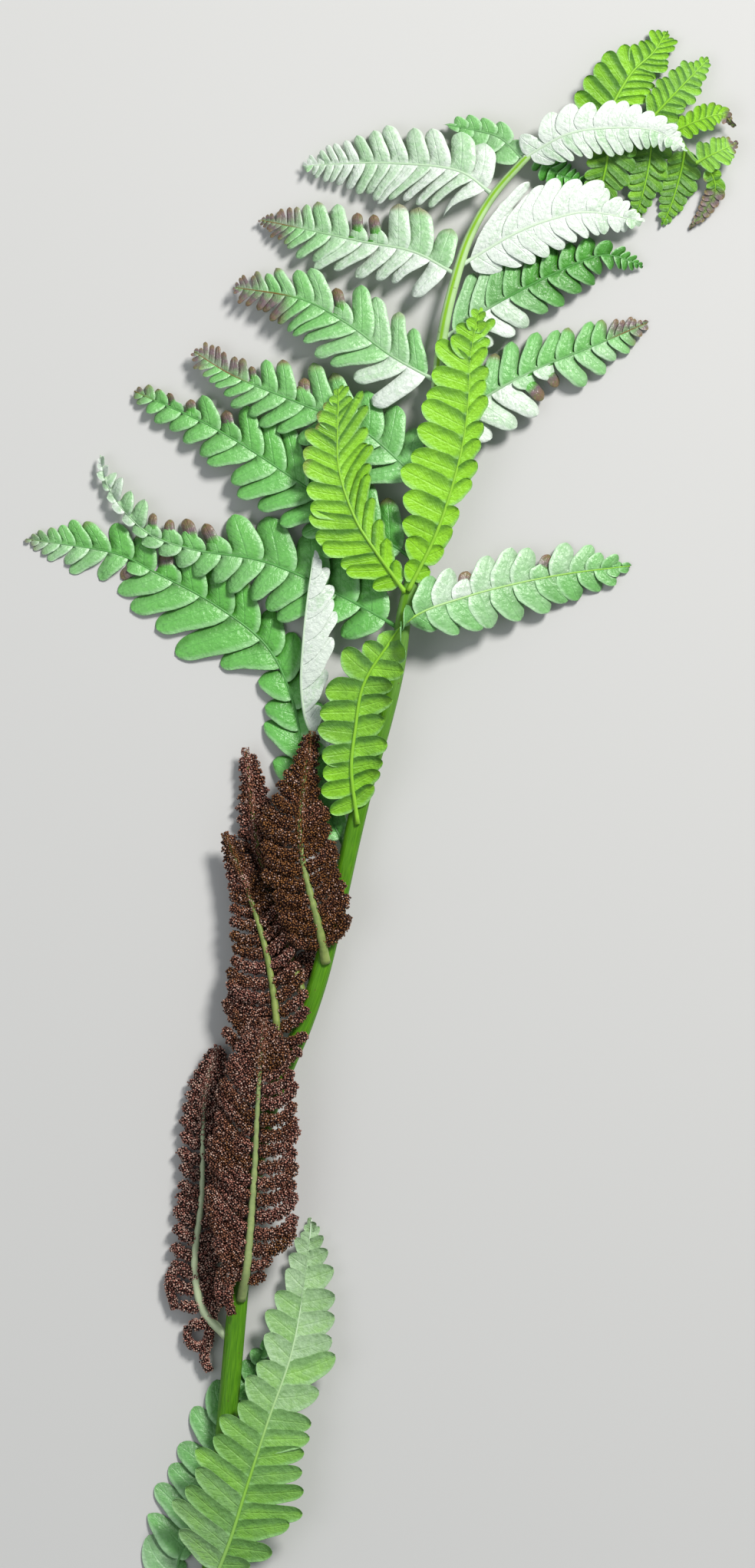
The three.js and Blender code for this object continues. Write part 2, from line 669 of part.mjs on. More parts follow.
// Gives a sheet its thickness, and closes it round its rim.
function thicken(points, triangles, back) {
  const count = points.length;
  const above = [];
  const below = [];
  for (const { middle, normal, rib } of points) {
    const ribBelow = rib && !back ? RIB_RISE : 0;
    const ribAbove = rib && back ? RIB_RISE : 0;
    const top = middle.clone().addScaledVector(normal, BLADE / 2 + ribAbove);
    const bottom = middle.clone().addScaledVector(normal, -BLADE / 2 - ribBelow);
    const [low, high] = top.z < bottom.z ? [top, bottom] : [bottom, top];
    low.z = Math.max(low.z, 0);
    high.z = Math.max(high.z, low.z + (Math.abs(normal.z) > 0.8 ? BLADE : 0));
    above.push(...top.toArray());
    below.push(...bottom.toArray());
  }
  const shell = [...triangles];
  const edges = new Set();
  for (let i = 0; i < triangles.length; i += 3) {
    const corner = triangles.slice(i, i + 3);
    shell.push(corner[0] + count, corner[2] + count, corner[1] + count);
    corner.forEach((a, k) => edges.add(`${a} ${corner[(k + 1) % 3]}`));
  }
  for (const edge of edges) {
    const [a, b] = edge.split(" ").map(Number);
    if (!edges.has(`${b} ${a}`)) {
      shell.push(b, a, a + count, b, a + count, b + count);
    }
  }
  return geometryFrom([...above, ...below], shell);
}

function solidOf(geometry) {
  const mesh = new wasm.Mesh({
    numProp: 3,
    vertProperties: geometry.getAttribute("position").array,
    triVerts: Uint32Array.from(geometry.getIndex().array),
  });
  return new wasm.Manifold(mesh);
}

// Joins pieces into one body. Its outer shell is kept, without closed pockets between the pieces.
function fuse(geometries) {
  const [first, ...others] = geometries.map(solidOf);
  const joined = others.reduce((sum, next) => sum.add(next), first);
  const [outer] = joined.decompose().sort((a, b) => b.volume() - a.volume());
  const { vertProperties, triVerts } = outer.getMesh();
  return geometryFrom(Array.from(vertProperties), Array.from(triVerts));
}

// One pinnule along a bend: a rod whose thickness varies, for the spore cases that cover it.
function rodAlong(bend, above, radius, steps) {
  const rings = [];
  for (let ring = 0; ring <= steps; ring += 1) {
    const t = ring / steps;
    const [share] = columnsAt(ROD_FORM, t);
    const direction = bend.getTangent(t);
    const across = new THREE.Vector3().crossVectors(above, direction).normalize();
    const upward = new THREE.Vector3().crossVectors(direction, across);
    const frame = { origin: bend.getPoint(t), left: across, normal: upward };
    const turn = (ring % 2) * (Math.PI / ROD_SIDES);
    rings.push(ringAt(frame, radius * share * Math.cos(Math.PI / ROD_SIDES), ROD_SIDES, turn).reverse());
  }
  return loft(rings);
}

// A pinnule's bend: out from the rib and then towards the pinna's tip.
function pinnuleBend({ origin, along, left, normal }, { side, inset, length, tilt, bend, closing }) {
  const lift = radians(tilt);
  const out = left.clone().multiplyScalar(side * Math.cos(lift)).addScaledVector(normal, Math.sin(lift));
  const turns = bend.map((angle) => radians(angle + closing));
  const [first, second] = turns.map((turn) => {
    return out.clone().multiplyScalar(Math.cos(turn)).addScaledVector(along, Math.sin(turn));
  });
  const inner = length / (Math.cos(turns[0]) + OUTER_HALF * Math.cos(turns[1]));
  const base = origin.clone().addScaledVector(normal, -ROD_SINK).addScaledVector(out, inset);
  const elbow = base.clone().addScaledVector(first, inner);
  const end = elbow.clone().addScaledVector(second, inner * OUTER_HALF);
  return new THREE.QuadraticBezierCurve3(base, elbow, end);
}

function fertileGeometry({ path, reach, raise, bends, pinnules, loose = [] }) {
  const [footRadius] = COSTA_RADII;
  const foot = seatOnStalk(path, { side: footRadius, above: footRadius, below: footRadius });
  const curve = curveThrough([foot, ...path.slice(1)]);
  const costaRadius = (t) => THREE.MathUtils.lerp(COSTA_RADII[0], COSTA_RADII[1], t);
  const rings = [];
  for (let step = 0; step <= COSTA_STEPS; step += 1) {
    const t = (COSTA_END * step) / COSTA_STEPS;
    rings.push(ringAt(frameAt(curve, t), costaRadius(t), COSTA_SIDES, Math.PI / COSTA_SIDES).reverse());
  }
  const widest = Math.max(...reach.flatMap((row) => row.slice(1)));
  const pieces = [loft(rings)];
  for (let i = 0; i < pinnules; i += 1) {
    const t = FIRST_PINNULE + (LAST_PINNULE - FIRST_PINNULE) * (i / (pinnules - 1));
    const row = columnsAt(reach, t);
    const frame = frameAt(curve, t);
    const closing = TIP_CLOSING * THREE.MathUtils.smoothstep(t, CLOSING_FROM, CLOSING_TO);
    for (const side of [1, -1]) {
      const column = side > 0 ? 0 : 1;
      const [length, tilt, bend] = [row[column], raise[column], bends[column]];
      const radius = THREE.MathUtils.lerp(ROD_THIN, ROD_THICK, length / widest);
      const rod = pinnuleBend(frame, { side, inset: costaRadius(t) / 2, length, tilt, bend, closing });
      pieces.push(rodAlong(rod, frame.normal, radius, ROD_STEPS));
    }
  }
  for (const points of loose) {
    pieces.push(rodAlong(curveThrough(points), UP, ROD_THIN, points.length - 1));
  }
  return fuse(pieces);
}

function addPiece(group, name, geometry, colour, roughness) {
  const material = new THREE.MeshStandardMaterial({ color: colour, roughness, metalness: 0 });
  const mesh = new THREE.Mesh(geometry, material);
  mesh.name = name;
  group.add(mesh);
}

const frond = new THREE.Group();
addPiece(frond, "stalk", stalkGeometry(), GREEN.stalk, 0.45);
for (const pinna of GREEN_PINNAE) {
  const colour = pinna.colour ?? (pinna.back ? GREEN.back : GREEN.upper);
  addPiece(frond, pinna.name, bladeGeometry(pinna), colour, 0.55);
}
for (const pinna of BROWN_PINNAE) {
  addPiece(frond, pinna.name, fertileGeometry(pinna), BROWN, 0.9);
}

export default frond;
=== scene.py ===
"""Looks of a cut fern frond that lies face up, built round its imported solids.

Tables are in millimetres, in the frame of the part: X right, Y along the frond to its tip, Z up.
A green leaflet is a rib with a thin closed shell for each lobe. A brown one is a rib with bent
pinnules, covered in spore cases.
"""
import math

import bpy
import numpy as np
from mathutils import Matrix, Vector


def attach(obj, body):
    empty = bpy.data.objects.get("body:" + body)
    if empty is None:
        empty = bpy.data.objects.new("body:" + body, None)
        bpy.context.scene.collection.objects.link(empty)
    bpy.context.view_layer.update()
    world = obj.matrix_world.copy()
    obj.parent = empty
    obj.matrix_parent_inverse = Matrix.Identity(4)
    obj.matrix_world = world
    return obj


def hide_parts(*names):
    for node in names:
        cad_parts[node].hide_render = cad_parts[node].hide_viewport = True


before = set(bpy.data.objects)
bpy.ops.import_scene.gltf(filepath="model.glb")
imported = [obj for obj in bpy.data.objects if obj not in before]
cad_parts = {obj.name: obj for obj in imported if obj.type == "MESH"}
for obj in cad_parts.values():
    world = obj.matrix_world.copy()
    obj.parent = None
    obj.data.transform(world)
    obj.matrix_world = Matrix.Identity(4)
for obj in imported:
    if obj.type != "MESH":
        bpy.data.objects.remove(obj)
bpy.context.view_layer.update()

MM = 0.001
SEED = 20
UP = np.array([0.0, 0.0, 1.0])
LEFT, RIGHT = 1, -1
SPLINE_STEPS = 40
# Points under this height are pressed together above the surface that the frond lies on
FLOOR_BAND = 0.8

# Photograph: pixels of its frame, millimetres to a pixel, and the pixel that is the origin
PHOTO_SIZE = (984, 2043)
PIXEL_MM = 0.2
ORIGIN_PIXEL = (495, 1092.5)

# Centre line of the stalk: x, y, z and radius
STALK = [
    (-45.5, -209.5, 2.75, 2.75), (-44.5, -199.5, 2.75, 2.75), (-43.6, -190, 2.75, 2.75),
    (-42.2, -176, 3.5, 2.7), (-39.4, -147.3, 5.3, 2.65), (-37.2, -122.9, 6.2, 2.6),
    (-35.4, -103.9, 6.6, 2.55), (-33, -87.5, 6.8, 2.5), (-30, -73.5, 7, 2.5),
    (-25.6, -61.5, 7.1, 2.5), (-20, -48.5, 7.2, 2.45), (-15.6, -35.5, 7.3, 2.4),
    (-11.2, -17.5, 7.4, 2.35), (-7.6, -1.5, 7.5, 2.3), (-3.7, 14.5, 7.6, 2.3), (1, 30.5, 7.8, 2.2),
    (4.4, 44.5, 7.9, 2.1), (6.4, 58.5, 8, 2), (9, 70.5, 8, 1.9), (11.6, 86.5, 8, 1.8),
    (13.6, 102.5, 8, 1.7), (15, 118.5, 8, 1.55), (16.6, 132.5, 7.8, 1.4),
    (19.4, 144.5, 7.6, 1.3), (23.4, 156.5, 7.3, 1.2), (29, 166.5, 7, 1.1),
    (35.4, 174.1, 6.6, 1), (41, 179.4, 6.3, 0.95), (49, 182.5, 6, 0.9), (61, 184.5, 5.5, 0.8),
    (70.2, 186.5, 5, 0.7), (76.4, 184.6, 4.6, 0.62), (79.6, 179.5, 4.2, 0.56),
    (82.8, 175.9, 4, 0.52), (88, 174.3, 3.8, 0.46),
]

# Green leaflets, lobed on both sides.
# path: from the foot to the tip. width and roll, or form: share, left, right, degrees of roll.
# heel: the left lobes' share of their width at the foot. tip: the least share of the width.
# back: its back is up. sides: where it has lobes. flat: share of the lobes' relief; flatter lobes
# close up. taper: how much they narrow. uneven: how much they differ.
# pitch: share, from lobe to lobe. sweep: share, degrees. pale: share, painted highlight that pales
# the lobes and their rib. Each row of these three has two values, for the left and the right, or
# one for both.
# tone: 0 for a deep green, 1 for a fresh one. brown: share of the length from which the left and
# the right lobes are brown. flecks: shares between which the left lobes have a brown tip.
# folded: share and side of lobes with a brown tip behind a short lobe.
GREEN = dict(
    pinna_left_0=dict(
        path=[(36, 178, 6), (31, 182.5, 4.6), (25, 184.3, 4), (18.5, 185.5, 3.4)],
        form=[(0, 3, 2), (0.25, 7.5, 4), (0.55, 7, 4), (0.8, 3, 3.5)], flat=0.6, taper=1.4,
        pitch=[(0, 5.4, 4.6), (1, 3.4, 3)], pale=[(0, 0.5), (1, 0.35)], tone=0.9),
    pinna_left_1=dict(
        path=[(27.5, 169, 6.6), (21, 173.4, 6.8), (3.2, 175.7, 5.2), (-9, 175.7, 3.8),
              (-20.4, 175.1, 2.6)],
        width=(10.2, 10.6), roll=(4, 2), heel=1.25,
        pitch=[(0, 4, 5.6), (0.35, 3.7, 5.4), (0.6, 3.4, 4), (0.76, 2.6, 2.4), (1, 0.9)],
        sweep=[(0, 20, 12), (0.1, 26, 14), (0.18, 44, 16), (0.4, 40, 18), (0.65, 26, 20), (1, 22, 20)],
        pale=[(0, 0.8, 0.75), (0.3, 0.85, 0.75), (0.6, 0.75), (1, 0.7, 0.9)]),
    pinna_left_2=dict(
        path=[(19, 147.1, 7.4), (9, 152.5, 6.8), (-4.6, 155.3, 5.8), (-19, 158.5, 4.4),
              (-31.4, 161.1, 2.4)],
        width=(9.8, 11.2), roll=(4, 4), heel=1.2,
        pitch=[(0, 5, 6), (0.4, 4.4, 5.2), (0.65, 4, 4.4), (0.78, 2.2), (1, 0.9)],
        sweep=[(0, 5, 14), (0.09, 14), (0.17, 38, 15), (1, 38, 18)],
        pale=[(0, 0.95, 0.65), (0.3, 0.75, 0.7), (0.7, 0.55, 0.6), (1, 0.4)], brown=(0.8, 0.76),
        folded=[(0.48, RIGHT), (0.385, RIGHT)]),
    pinna_left_3=dict(
        path=[(13.5, 119.5, 7.8), (3, 125.5, 8), (-8.4, 133.9, 7.6), (-19.8, 140.1, 6.6),
              (-37.8, 143.5, 4)],
        width=(11, 11), roll=(5, 4), heel=1.28, tip=0.33,
        pitch=[(0, 5.4), (0.35, 5.4, 6.4), (0.6, 4, 5.2), (0.8, 3, 3.2), (0.9, 1.7), (1, 1.2)],
        sweep=[(0, 18, 36), (0.08, 24, 36), (0.16, 36), (0.6, 35, 34), (1, 30, 24)],
        pale=[(0, 1, 0.5), (0.14, 0.75, 0.5), (0.25, 0.45), (0.6, 0.3, 0.4), (1, 0.2, 0.5)],
        brown=(0.7, 0.84), folded=[(0.47, RIGHT)]),
    pinna_left_4=dict(
        path=[(11, 92.5, 7.6), (-4.6, 106.3, 6.8), (-19, 112.5, 6.2), (-39, 120.9, 4.8),
              (-48.6, 126.9, 4)],
        width=(10.5, 11), roll=(5, 5), heel=1.1, tip=0.33,
        pitch=[(0, 6.2, 7), (0.4, 5.6, 6), (0.6, 4.8, 5), (0.75, 3.6, 3.2), (0.88, 2), (1, 1.2)],
        sweep=[(0, 35, 30), (1, 34, 26)], pale=[(0, 0.35, 0.3), (0.6, 0.3), (1, 0.4, 0.5)],
        brown=(0.88, 0.73), folded=[(0.555, RIGHT), (0.71, RIGHT)]),
    pinna_left_5=dict(
        path=[(7, 73.5, 7.6), (-3, 80.5, 6.8), (-18.6, 91.1, 5.6), (-42.4, 106.5, 4),
              (-64.4, 116.7, 1.6)],
        width=(11.6, 10.6), roll=(5, 5), tip=0.27,
        pitch=[(0, 6.6, 7.4), (0.5, 6.3, 7.2), (0.7, 5.8), (0.85, 4.4, 4.2), (1, 1.5)],
        sweep=[(0, 33, 38), (1, 32, 36)], pale=[(0, 0.1, 0.05), (0.5, 0.25, 0.1), (1, 0.35, 0.3)],
        brown=(0.93, 0.9), folded=[(0.63, RIGHT), (0.77, RIGHT), (0.83, RIGHT)]),
    pinna_left_6=dict(
        path=[(2, 55.5, 7.2), (-11, 63.7, 5.6), (-30.2, 72.1, 4.4), (-49.2, 75.4, 3.8),
              (-60.8, 79.7, 3.6), (-70.6, 91.1, 3), (-73, 100.3, 2.2)],
        form=[(0, 6, 6, 4), (0.12, 12.5, 11, 5), (0.35, 11.5, 11.5, 5), (0.55, 7, 11, 4),
              (0.66, 3.6, 9, 0), (0.8, 1.8, 5, -20), (0.92, 1.5, 3.2, -25)],
        pitch=[(0, 7.4, 9), (0.35, 6.6, 9), (0.5, 5.4, 6.8), (0.7, 4.6, 5.4), (0.85, 3.4, 4.2),
               (1, 1.6, 1.8)],
        sweep=[(0, 26), (1, 28)], pale=[(0, 0.1), (0.5, 0.35, 0.2), (1, 0.9, 0.8)],
        folded=[(0.505, RIGHT), (0.575, RIGHT), (0.655, RIGHT), (0.715, RIGHT)]),
    pinna_left_7=dict(
        path=[(-8.5, -3.5, 5.6), (-11.5, 2.5, 4.6), (-19, 18.5, 2.6), (-22.4, 34.9, 2),
              (-29, 49.5, 1.6), (-42.4, 60.5, 1.5), (-59.2, 69.7, 1.4), (-68.4, 74.1, 1.2),
              (-92.8, 78.1, 0.6)],
        form=[(0, 3, 2), (0.1, 5, 5), (0.22, 9.5, 7), (0.32, 6, 7), (0.4, 8, 8.5), (0.46, 16, 8.5),
              (0.54, 15.5, 9.5), (0.62, 12, 9.5), (0.75, 8.5, 8.5), (0.88, 5.5, 6)],
        pitch=[(0, 7), (0.4, 9, 7.5), (0.48, 10.5, 8), (0.62, 8), (0.72, 6.4, 6.6), (0.85, 4.6),
               (1, 1.4, 1.6)],
        sweep=[(0, 34, 26), (0.55, 34), (1, 34, 28)],
        pale=[(0, 0.1), (0.5, 0.1, 0), (0.8, 0.4, 0.1), (1, 0.6, 0.5)], brown=(0.93, 0.93),
        folded=[(0.7, RIGHT), (0.75, LEFT)]),
    pinna_left_folded=dict(
        path=[(-5.5, 18, 6.4), (-13, 23.5, 5.4), (-18.4, 28.8, 5), (-20.4, 38.5, 6.2), (-20, 50.5, 7.8),
              (-18.8, 62.5, 8.2), (-17.2, 73.5, 8.2)],
        form=[(0, 1, 1), (0.3, 1.4, 4), (0.45, 1.2, 7.6), (0.7, 1.2, 7.2), (0.84, 1.1, 4.6),
              (0.93, 0.8, 2), (1, 0.5, 0.6)],
        sides=(RIGHT,), flat=0.3, taper=1.7, pitch=[(0, 4), (0.4, 5, 6.6), (0.9, 5), (1, 3)],
        sweep=[(0, 50), (1, 56)], pale=[(0, 1)]),
    pinna_turned_left=dict(
        path=[(4, 64.9, 10.6), (-1, 74.5, 11), (-6.2, 82.7, 10.8), (-10.6, 95.7, 10.2),
              (-11, 106.5, 9.9), (-10.6, 117.1, 9.6)],
        form=[(0, 3, 2), (0.12, 9, 4), (0.25, 11, 6), (0.45, 11, 9), (0.65, 8.5, 8.5), (0.85, 5, 5)],
        back=True, pitch=[(0, 3.4, 4), (0.5, 4, 4.4), (0.8, 3.6), (1, 1.4, 1.6)],
        sweep=[(0, 22, 55), (0.5, 26, 58), (1, 24, 50)], pale=[(0, 0), (1, 0.15)], tone=0.9,
        flecks=(0.52, 0.88)),
    pinna_turned_right=dict(
        path=[(7.6, 64.9, 10.6), (14.2, 78.1, 11), (17.8, 88.1, 11), (21.4, 101.7, 10.8),
              (23, 113.3, 10.6), (23.8, 127.1, 10.4), (26, 137.7, 10.2)],
        form=[(0, 2, 2), (0.1, 5, 3), (0.2, 9, 3.5), (0.3, 12.5, 4), (0.5, 13, 4.5), (0.7, 11, 4.5),
              (0.88, 6, 4)],
        back=True, pitch=[(0, 4.6), (0.2, 6, 5.6), (0.6, 5.8, 5), (0.85, 3.8, 3.6), (1, 1.6)],
        sweep=[(0, 8, 45), (0.55, 8, 50), (0.7, 20, 48), (1, 24, 40)], pale=[(0, 0), (1, 0.1)],
        tone=1.05),
    pinna_right_0=dict(
        path=[(42.4, 177.4, 4.6), (45.5, 173.6, 3.6), (50, 171.6, 2.8), (54, 171, 2.2)],
        width=(4.4, 4.4), pitch=[(0, 2.8), (1, 1.4)], tone=0.7),
    pinna_right_1=dict(
        path=[(37.4, 177.6, 8.4), (48.6, 182.9, 9.4), (57.8, 184.5, 9.4), (71.4, 183.9, 8.7),
              (79.6, 179.2, 7.4)],
        form=[(0, 5, 4, 8), (0.1, 5.5, 6.5, 6), (0.2, 7.2, 7.2, 0), (0.5, 7, 7, 0), (0.7, 5.6, 5.6, 0),
              (0.86, 3.2, 3.2, 0)],
        flat=0.35, taper=1.65,
        pitch=[(0, 5, 3.2), (0.2, 4.6, 3), (0.6, 3.4, 3), (0.8, 2.6, 2.4), (1, 1.2)],
        sweep=[(0, -62, 24), (0.04, -60, 24), (0.14, 15, 24), (1, 24)],
        pale=[(0, 1, 0.9), (1, 1, 0.8)]),
    pinna_right_2=dict(
        path=[(22.8, 149.1, 7.8), (35.6, 157.5, 8), (45, 161.1, 7.6), (54, 162.9, 6.8),
              (68.6, 160.5, 4.8)],
        form=[(0, 5, 3, 8), (0.04, 11.6, 5, 8), (0.12, 10.5, 8, 7), (0.22, 8.6, 8.6, 3),
              (0.34, 8.6, 8.6, -1), (0.5, 10, 8, -3), (0.65, 8.6, 7, -2), (0.8, 5.4, 5, -2),
              (0.92, 3, 3, -2)],
        flat=0.35, taper=1.65, pitch=[(0, 5, 4.8), (0.6, 4.6, 4.4), (0.75, 3.4, 3.2), (1, 1.4)],
        sweep=[(0, 59, 24), (0.12, 54, 24), (0.34, 42, 24), (0.5, 32, 24), (1, 28, 24)],
        pale=[(0, 1), (0.7, 1), (1, 0.9, 0.7)]),
    pinna_right_3=dict(
        path=[(18.5, 130.5, 7.6), (27.6, 137.5, 7.2), (46.4, 147.5, 5), (58.6, 151.9, 3.4),
              (68.6, 149.1, 2.2)],
        form=[(0, 5, 5.4, -4), (0.06, 9.2, 8.1, -4), (0.19, 11, 9, -4), (0.33, 9.5, 9, -4),
              (0.45, 8, 8.6, -4), (0.65, 6.1, 6.8, -3), (0.82, 3.7, 4.1, -3), (0.94, 1.6, 1.8, -3)],
        pitch=[(0, 5.4, 5.8), (0.5, 5.4, 5.6), (0.75, 4.6), (0.85, 2.2), (1, 1.1)],
        sweep=[(0, 50, 24), (0.1, 46, 24), (0.2, 36, 24), (0.35, 28, 24), (1, 24)],
        pale=[(0, 0.6, 1), (0.25, 0.3, 0.7), (0.4, 0, 0.1), (1, 0)], tone=0.4),
    pinna_right_4=dict(
        path=[(15.8, 106.5, 7.6), (29.8, 116.3, 5.8), (41.4, 122.5, 4.4), (52.8, 127.1, 3),
              (70, 134.5, 0.8)],
        width=(9.2, 11), roll=(-4, -3), tip=0.24,
        pitch=[(0, 6, 7.4), (0.45, 5.4, 6), (0.72, 4.8), (0.8, 2.4, 3.6), (1, 1.6, 1.8)],
        sweep=[(0, 32, 18), (1, 34, 22)],
        pale=[(0, 0.5, 1), (0.3, 0.4, 0.8), (0.6, 0.3, 0.5), (1, 0.3, 0.4)], brown=(0.78, 0.86),
        folded=[(0.41, RIGHT), (0.55, RIGHT)]),
    pinna_right_7=dict(
        path=[(-5.6, 4.3, 10.8), (-7.4, 18.3, 11.6), (-6.4, 28.1, 12), (-4.4, 39.5, 12.8),
              (1, 48.5, 13.6), (9, 57.5, 13.2), (22, 62.7, 9.4), (35.4, 66.3, 5.6), (48.6, 68.9, 2.8),
              (65.8, 71.1, 0.6)],
        form=[(0, 3, 3, 180), (0.08, 7.5, 8, 180), (0.3, 8.5, 9, 180), (0.4, 5, 5, 165),
              (0.46, 2.6, 2.6, 90), (0.5, 6.5, 5.5, 15), (0.56, 10, 9, 0), (0.8, 8.5, 8, 0),
              (0.93, 3.5, 3.5, 0)],
        flat=0.5, taper=1, uneven=1.2,
        pitch=[(0, 3.6), (0.1, 4.8, 4.4), (0.2, 5.6), (0.45, 5, 4.6), (0.55, 5.6, 6.4), (0.8, 5.2, 6),
               (0.92, 3.6), (1, 1.6)],
        sweep=[(0, 20, -14), (0.3, 24, -8), (0.46, 30, 20), (1, 30, 22)],
        pale=[(0, 0), (0.45, 0.2), (0.55, 0.7, 0.5), (0.75, 0.6, 0.4), (1, 0.2)], tone=0.7,
        folded=[(0.62, LEFT), (0.81, LEFT)]),
    pinna_tip_1=dict(
        path=[(57, 185.6, 5), (65.6, 199.3, 3.2), (71.4, 204.9, 1.6), (74.6, 210, 0.6)],
        form=[(0, 7.5, 5), (0.1, 9.6, 6.4), (0.25, 9, 6.4), (0.45, 8, 6.2), (0.7, 5.2, 4.8),
              (0.88, 3, 3)],
        back=True, pitch=[(0, 4, 3), (0.4, 3.4, 2.4), (0.7, 2.6, 1.9), (1, 1.2)],
        sweep=[(0, 20, 34), (1, 22, 40)], tone=0.75),
    pinna_tip_2=dict(
        path=[(70.4, 188, 5.8), (77, 194.1, 5), (82, 199.3, 3.8), (85.6, 203, 2.6)],
        width=(5.6, 5.2), back=True, pitch=[(0, 2.4, 2.7), (0.6, 2.1, 2.3), (1, 1.1)],
        pale=[(0, 0.1), (1, 0.2)], tone=0.7),
    pinna_tip_3=dict(
        path=[(78.2, 185.2, 4.8), (84, 187.2, 5.6), (89, 188.3, 5), (91.8, 185.9, 4)],
        width=(3.4, 3.4), back=True, pitch=[(0, 2.2), (1, 1)], brown=(0.75, 0.75)),
    pinna_tip_4=dict(
        path=[(83.2, 176.6, 5.4), (87.2, 178.3, 5.3), (92.6, 180.9, 4)],
        width=(4.2, 4.2), back=True, pitch=[(0, 1.9), (1, 1)], pale=[(0, 0.3), (1, 0.2)],
        brown=(0.8, 0.8)),
    pinna_tip_5=dict(
        path=[(60.4, 183.4, 5), (58.9, 175, 4.4), (57.4, 169, 3.2), (56, 165, 2.6)],
        width=(7, 5), back=True, pitch=[(0, 3, 2.8), (0.7, 2.6, 2.4), (1, 1.2)],
        pale=[(0, 0.1, 0), (1, 0)], tone=0.3),
    pinna_tip_6=dict(
        path=[(70.4, 185.6, 3), (70.6, 179, 2.4), (68.4, 167.5, 2.2), (66.2, 160.5, 1.8)],
        width=(4.9, 5), back=True, pitch=[(0, 3.2, 3), (0.7, 2.6), (1, 1.2)], pale=[(0, 0.1), (1, 0)],
        tone=0.35),
    pinna_tip_7=dict(
        path=[(78.9, 179, 3), (78.4, 173.5, 0.8), (75.8, 164.7, 0.6), (73.8, 160, 0.5)],
        width=(4.8, 4.6), back=True, pitch=[(0, 2.8, 2.6), (0.7, 2.2), (1, 1.1)],
        pale=[(0, 0.1), (1, 0)], tone=0.35),
    pinna_tip_8=dict(
        path=[(85.6, 174, 3.4), (87.4, 169.1, 2.2), (84.6, 163.5, 1.2), (81, 159.3, 0.7)],
        width=(2.6, 2.4), back=True, pitch=[(0, 2.6, 2.4), (1, 1.2)], tone=0.6, brown=(0.3, 0.3)),
    pinna_lower_right=dict(
        path=[(-43, -193.5, 6.2), (-38.8, -181.9, 8.2), (-35, -169.7, 9.4), (-29.2, -151.7, 9.4),
              (-22.8, -133.1, 7), (-19, -110.7, 3), (-17.8, -98.8, 1.2)],
        form=[(0, 6, 5), (0.07, 15, 9), (0.15, 17, 13), (0.24, 14.5, 15), (0.35, 11.5, 13),
              (0.5, 8.5, 10), (0.68, 8.4, 10.6), (0.85, 5, 6)],
        back=True, taper=1.9,
        pitch=[(0, 5), (0.2, 5.4, 4.8), (0.4, 5.8, 5.2), (0.5, 6.4, 6.6), (0.8, 6.2), (0.9, 3.4),
               (1, 1.4)],
        sweep=[(0, 14, 16), (0.3, 24, 20), (1, 28, 30)],
        pale=[(0, 0.6, 0.4), (0.14, 0.5, 0.3), (0.3, 0.35, 0.3), (0.5, 0.6, 0.65), (1, 1)], tone=0.4),
    pinna_lower_left=dict(
        path=[(-48.4, -204, 1.6), (-52.6, -190.1, 1), (-48.8, -179.3, 0.9), (-42.4, -157.5, 0.9),
              (-38.8, -147.3, 0.9), (-33.6, -140.7, 0.9), (-29.2, -130.5, 0.8)],
        form=[(0, 4, 1), (0.1, 9, 2), (0.3, 12, 2.4), (0.55, 10, 3.5), (0.75, 6.5, 5), (0.9, 4, 4)],
        pitch=[(0, 7.4, 5), (0.7, 7.2, 5), (1, 3)], pale=[(0, 0.45, 0.3), (1, 0.2)], tone=0.5),
)
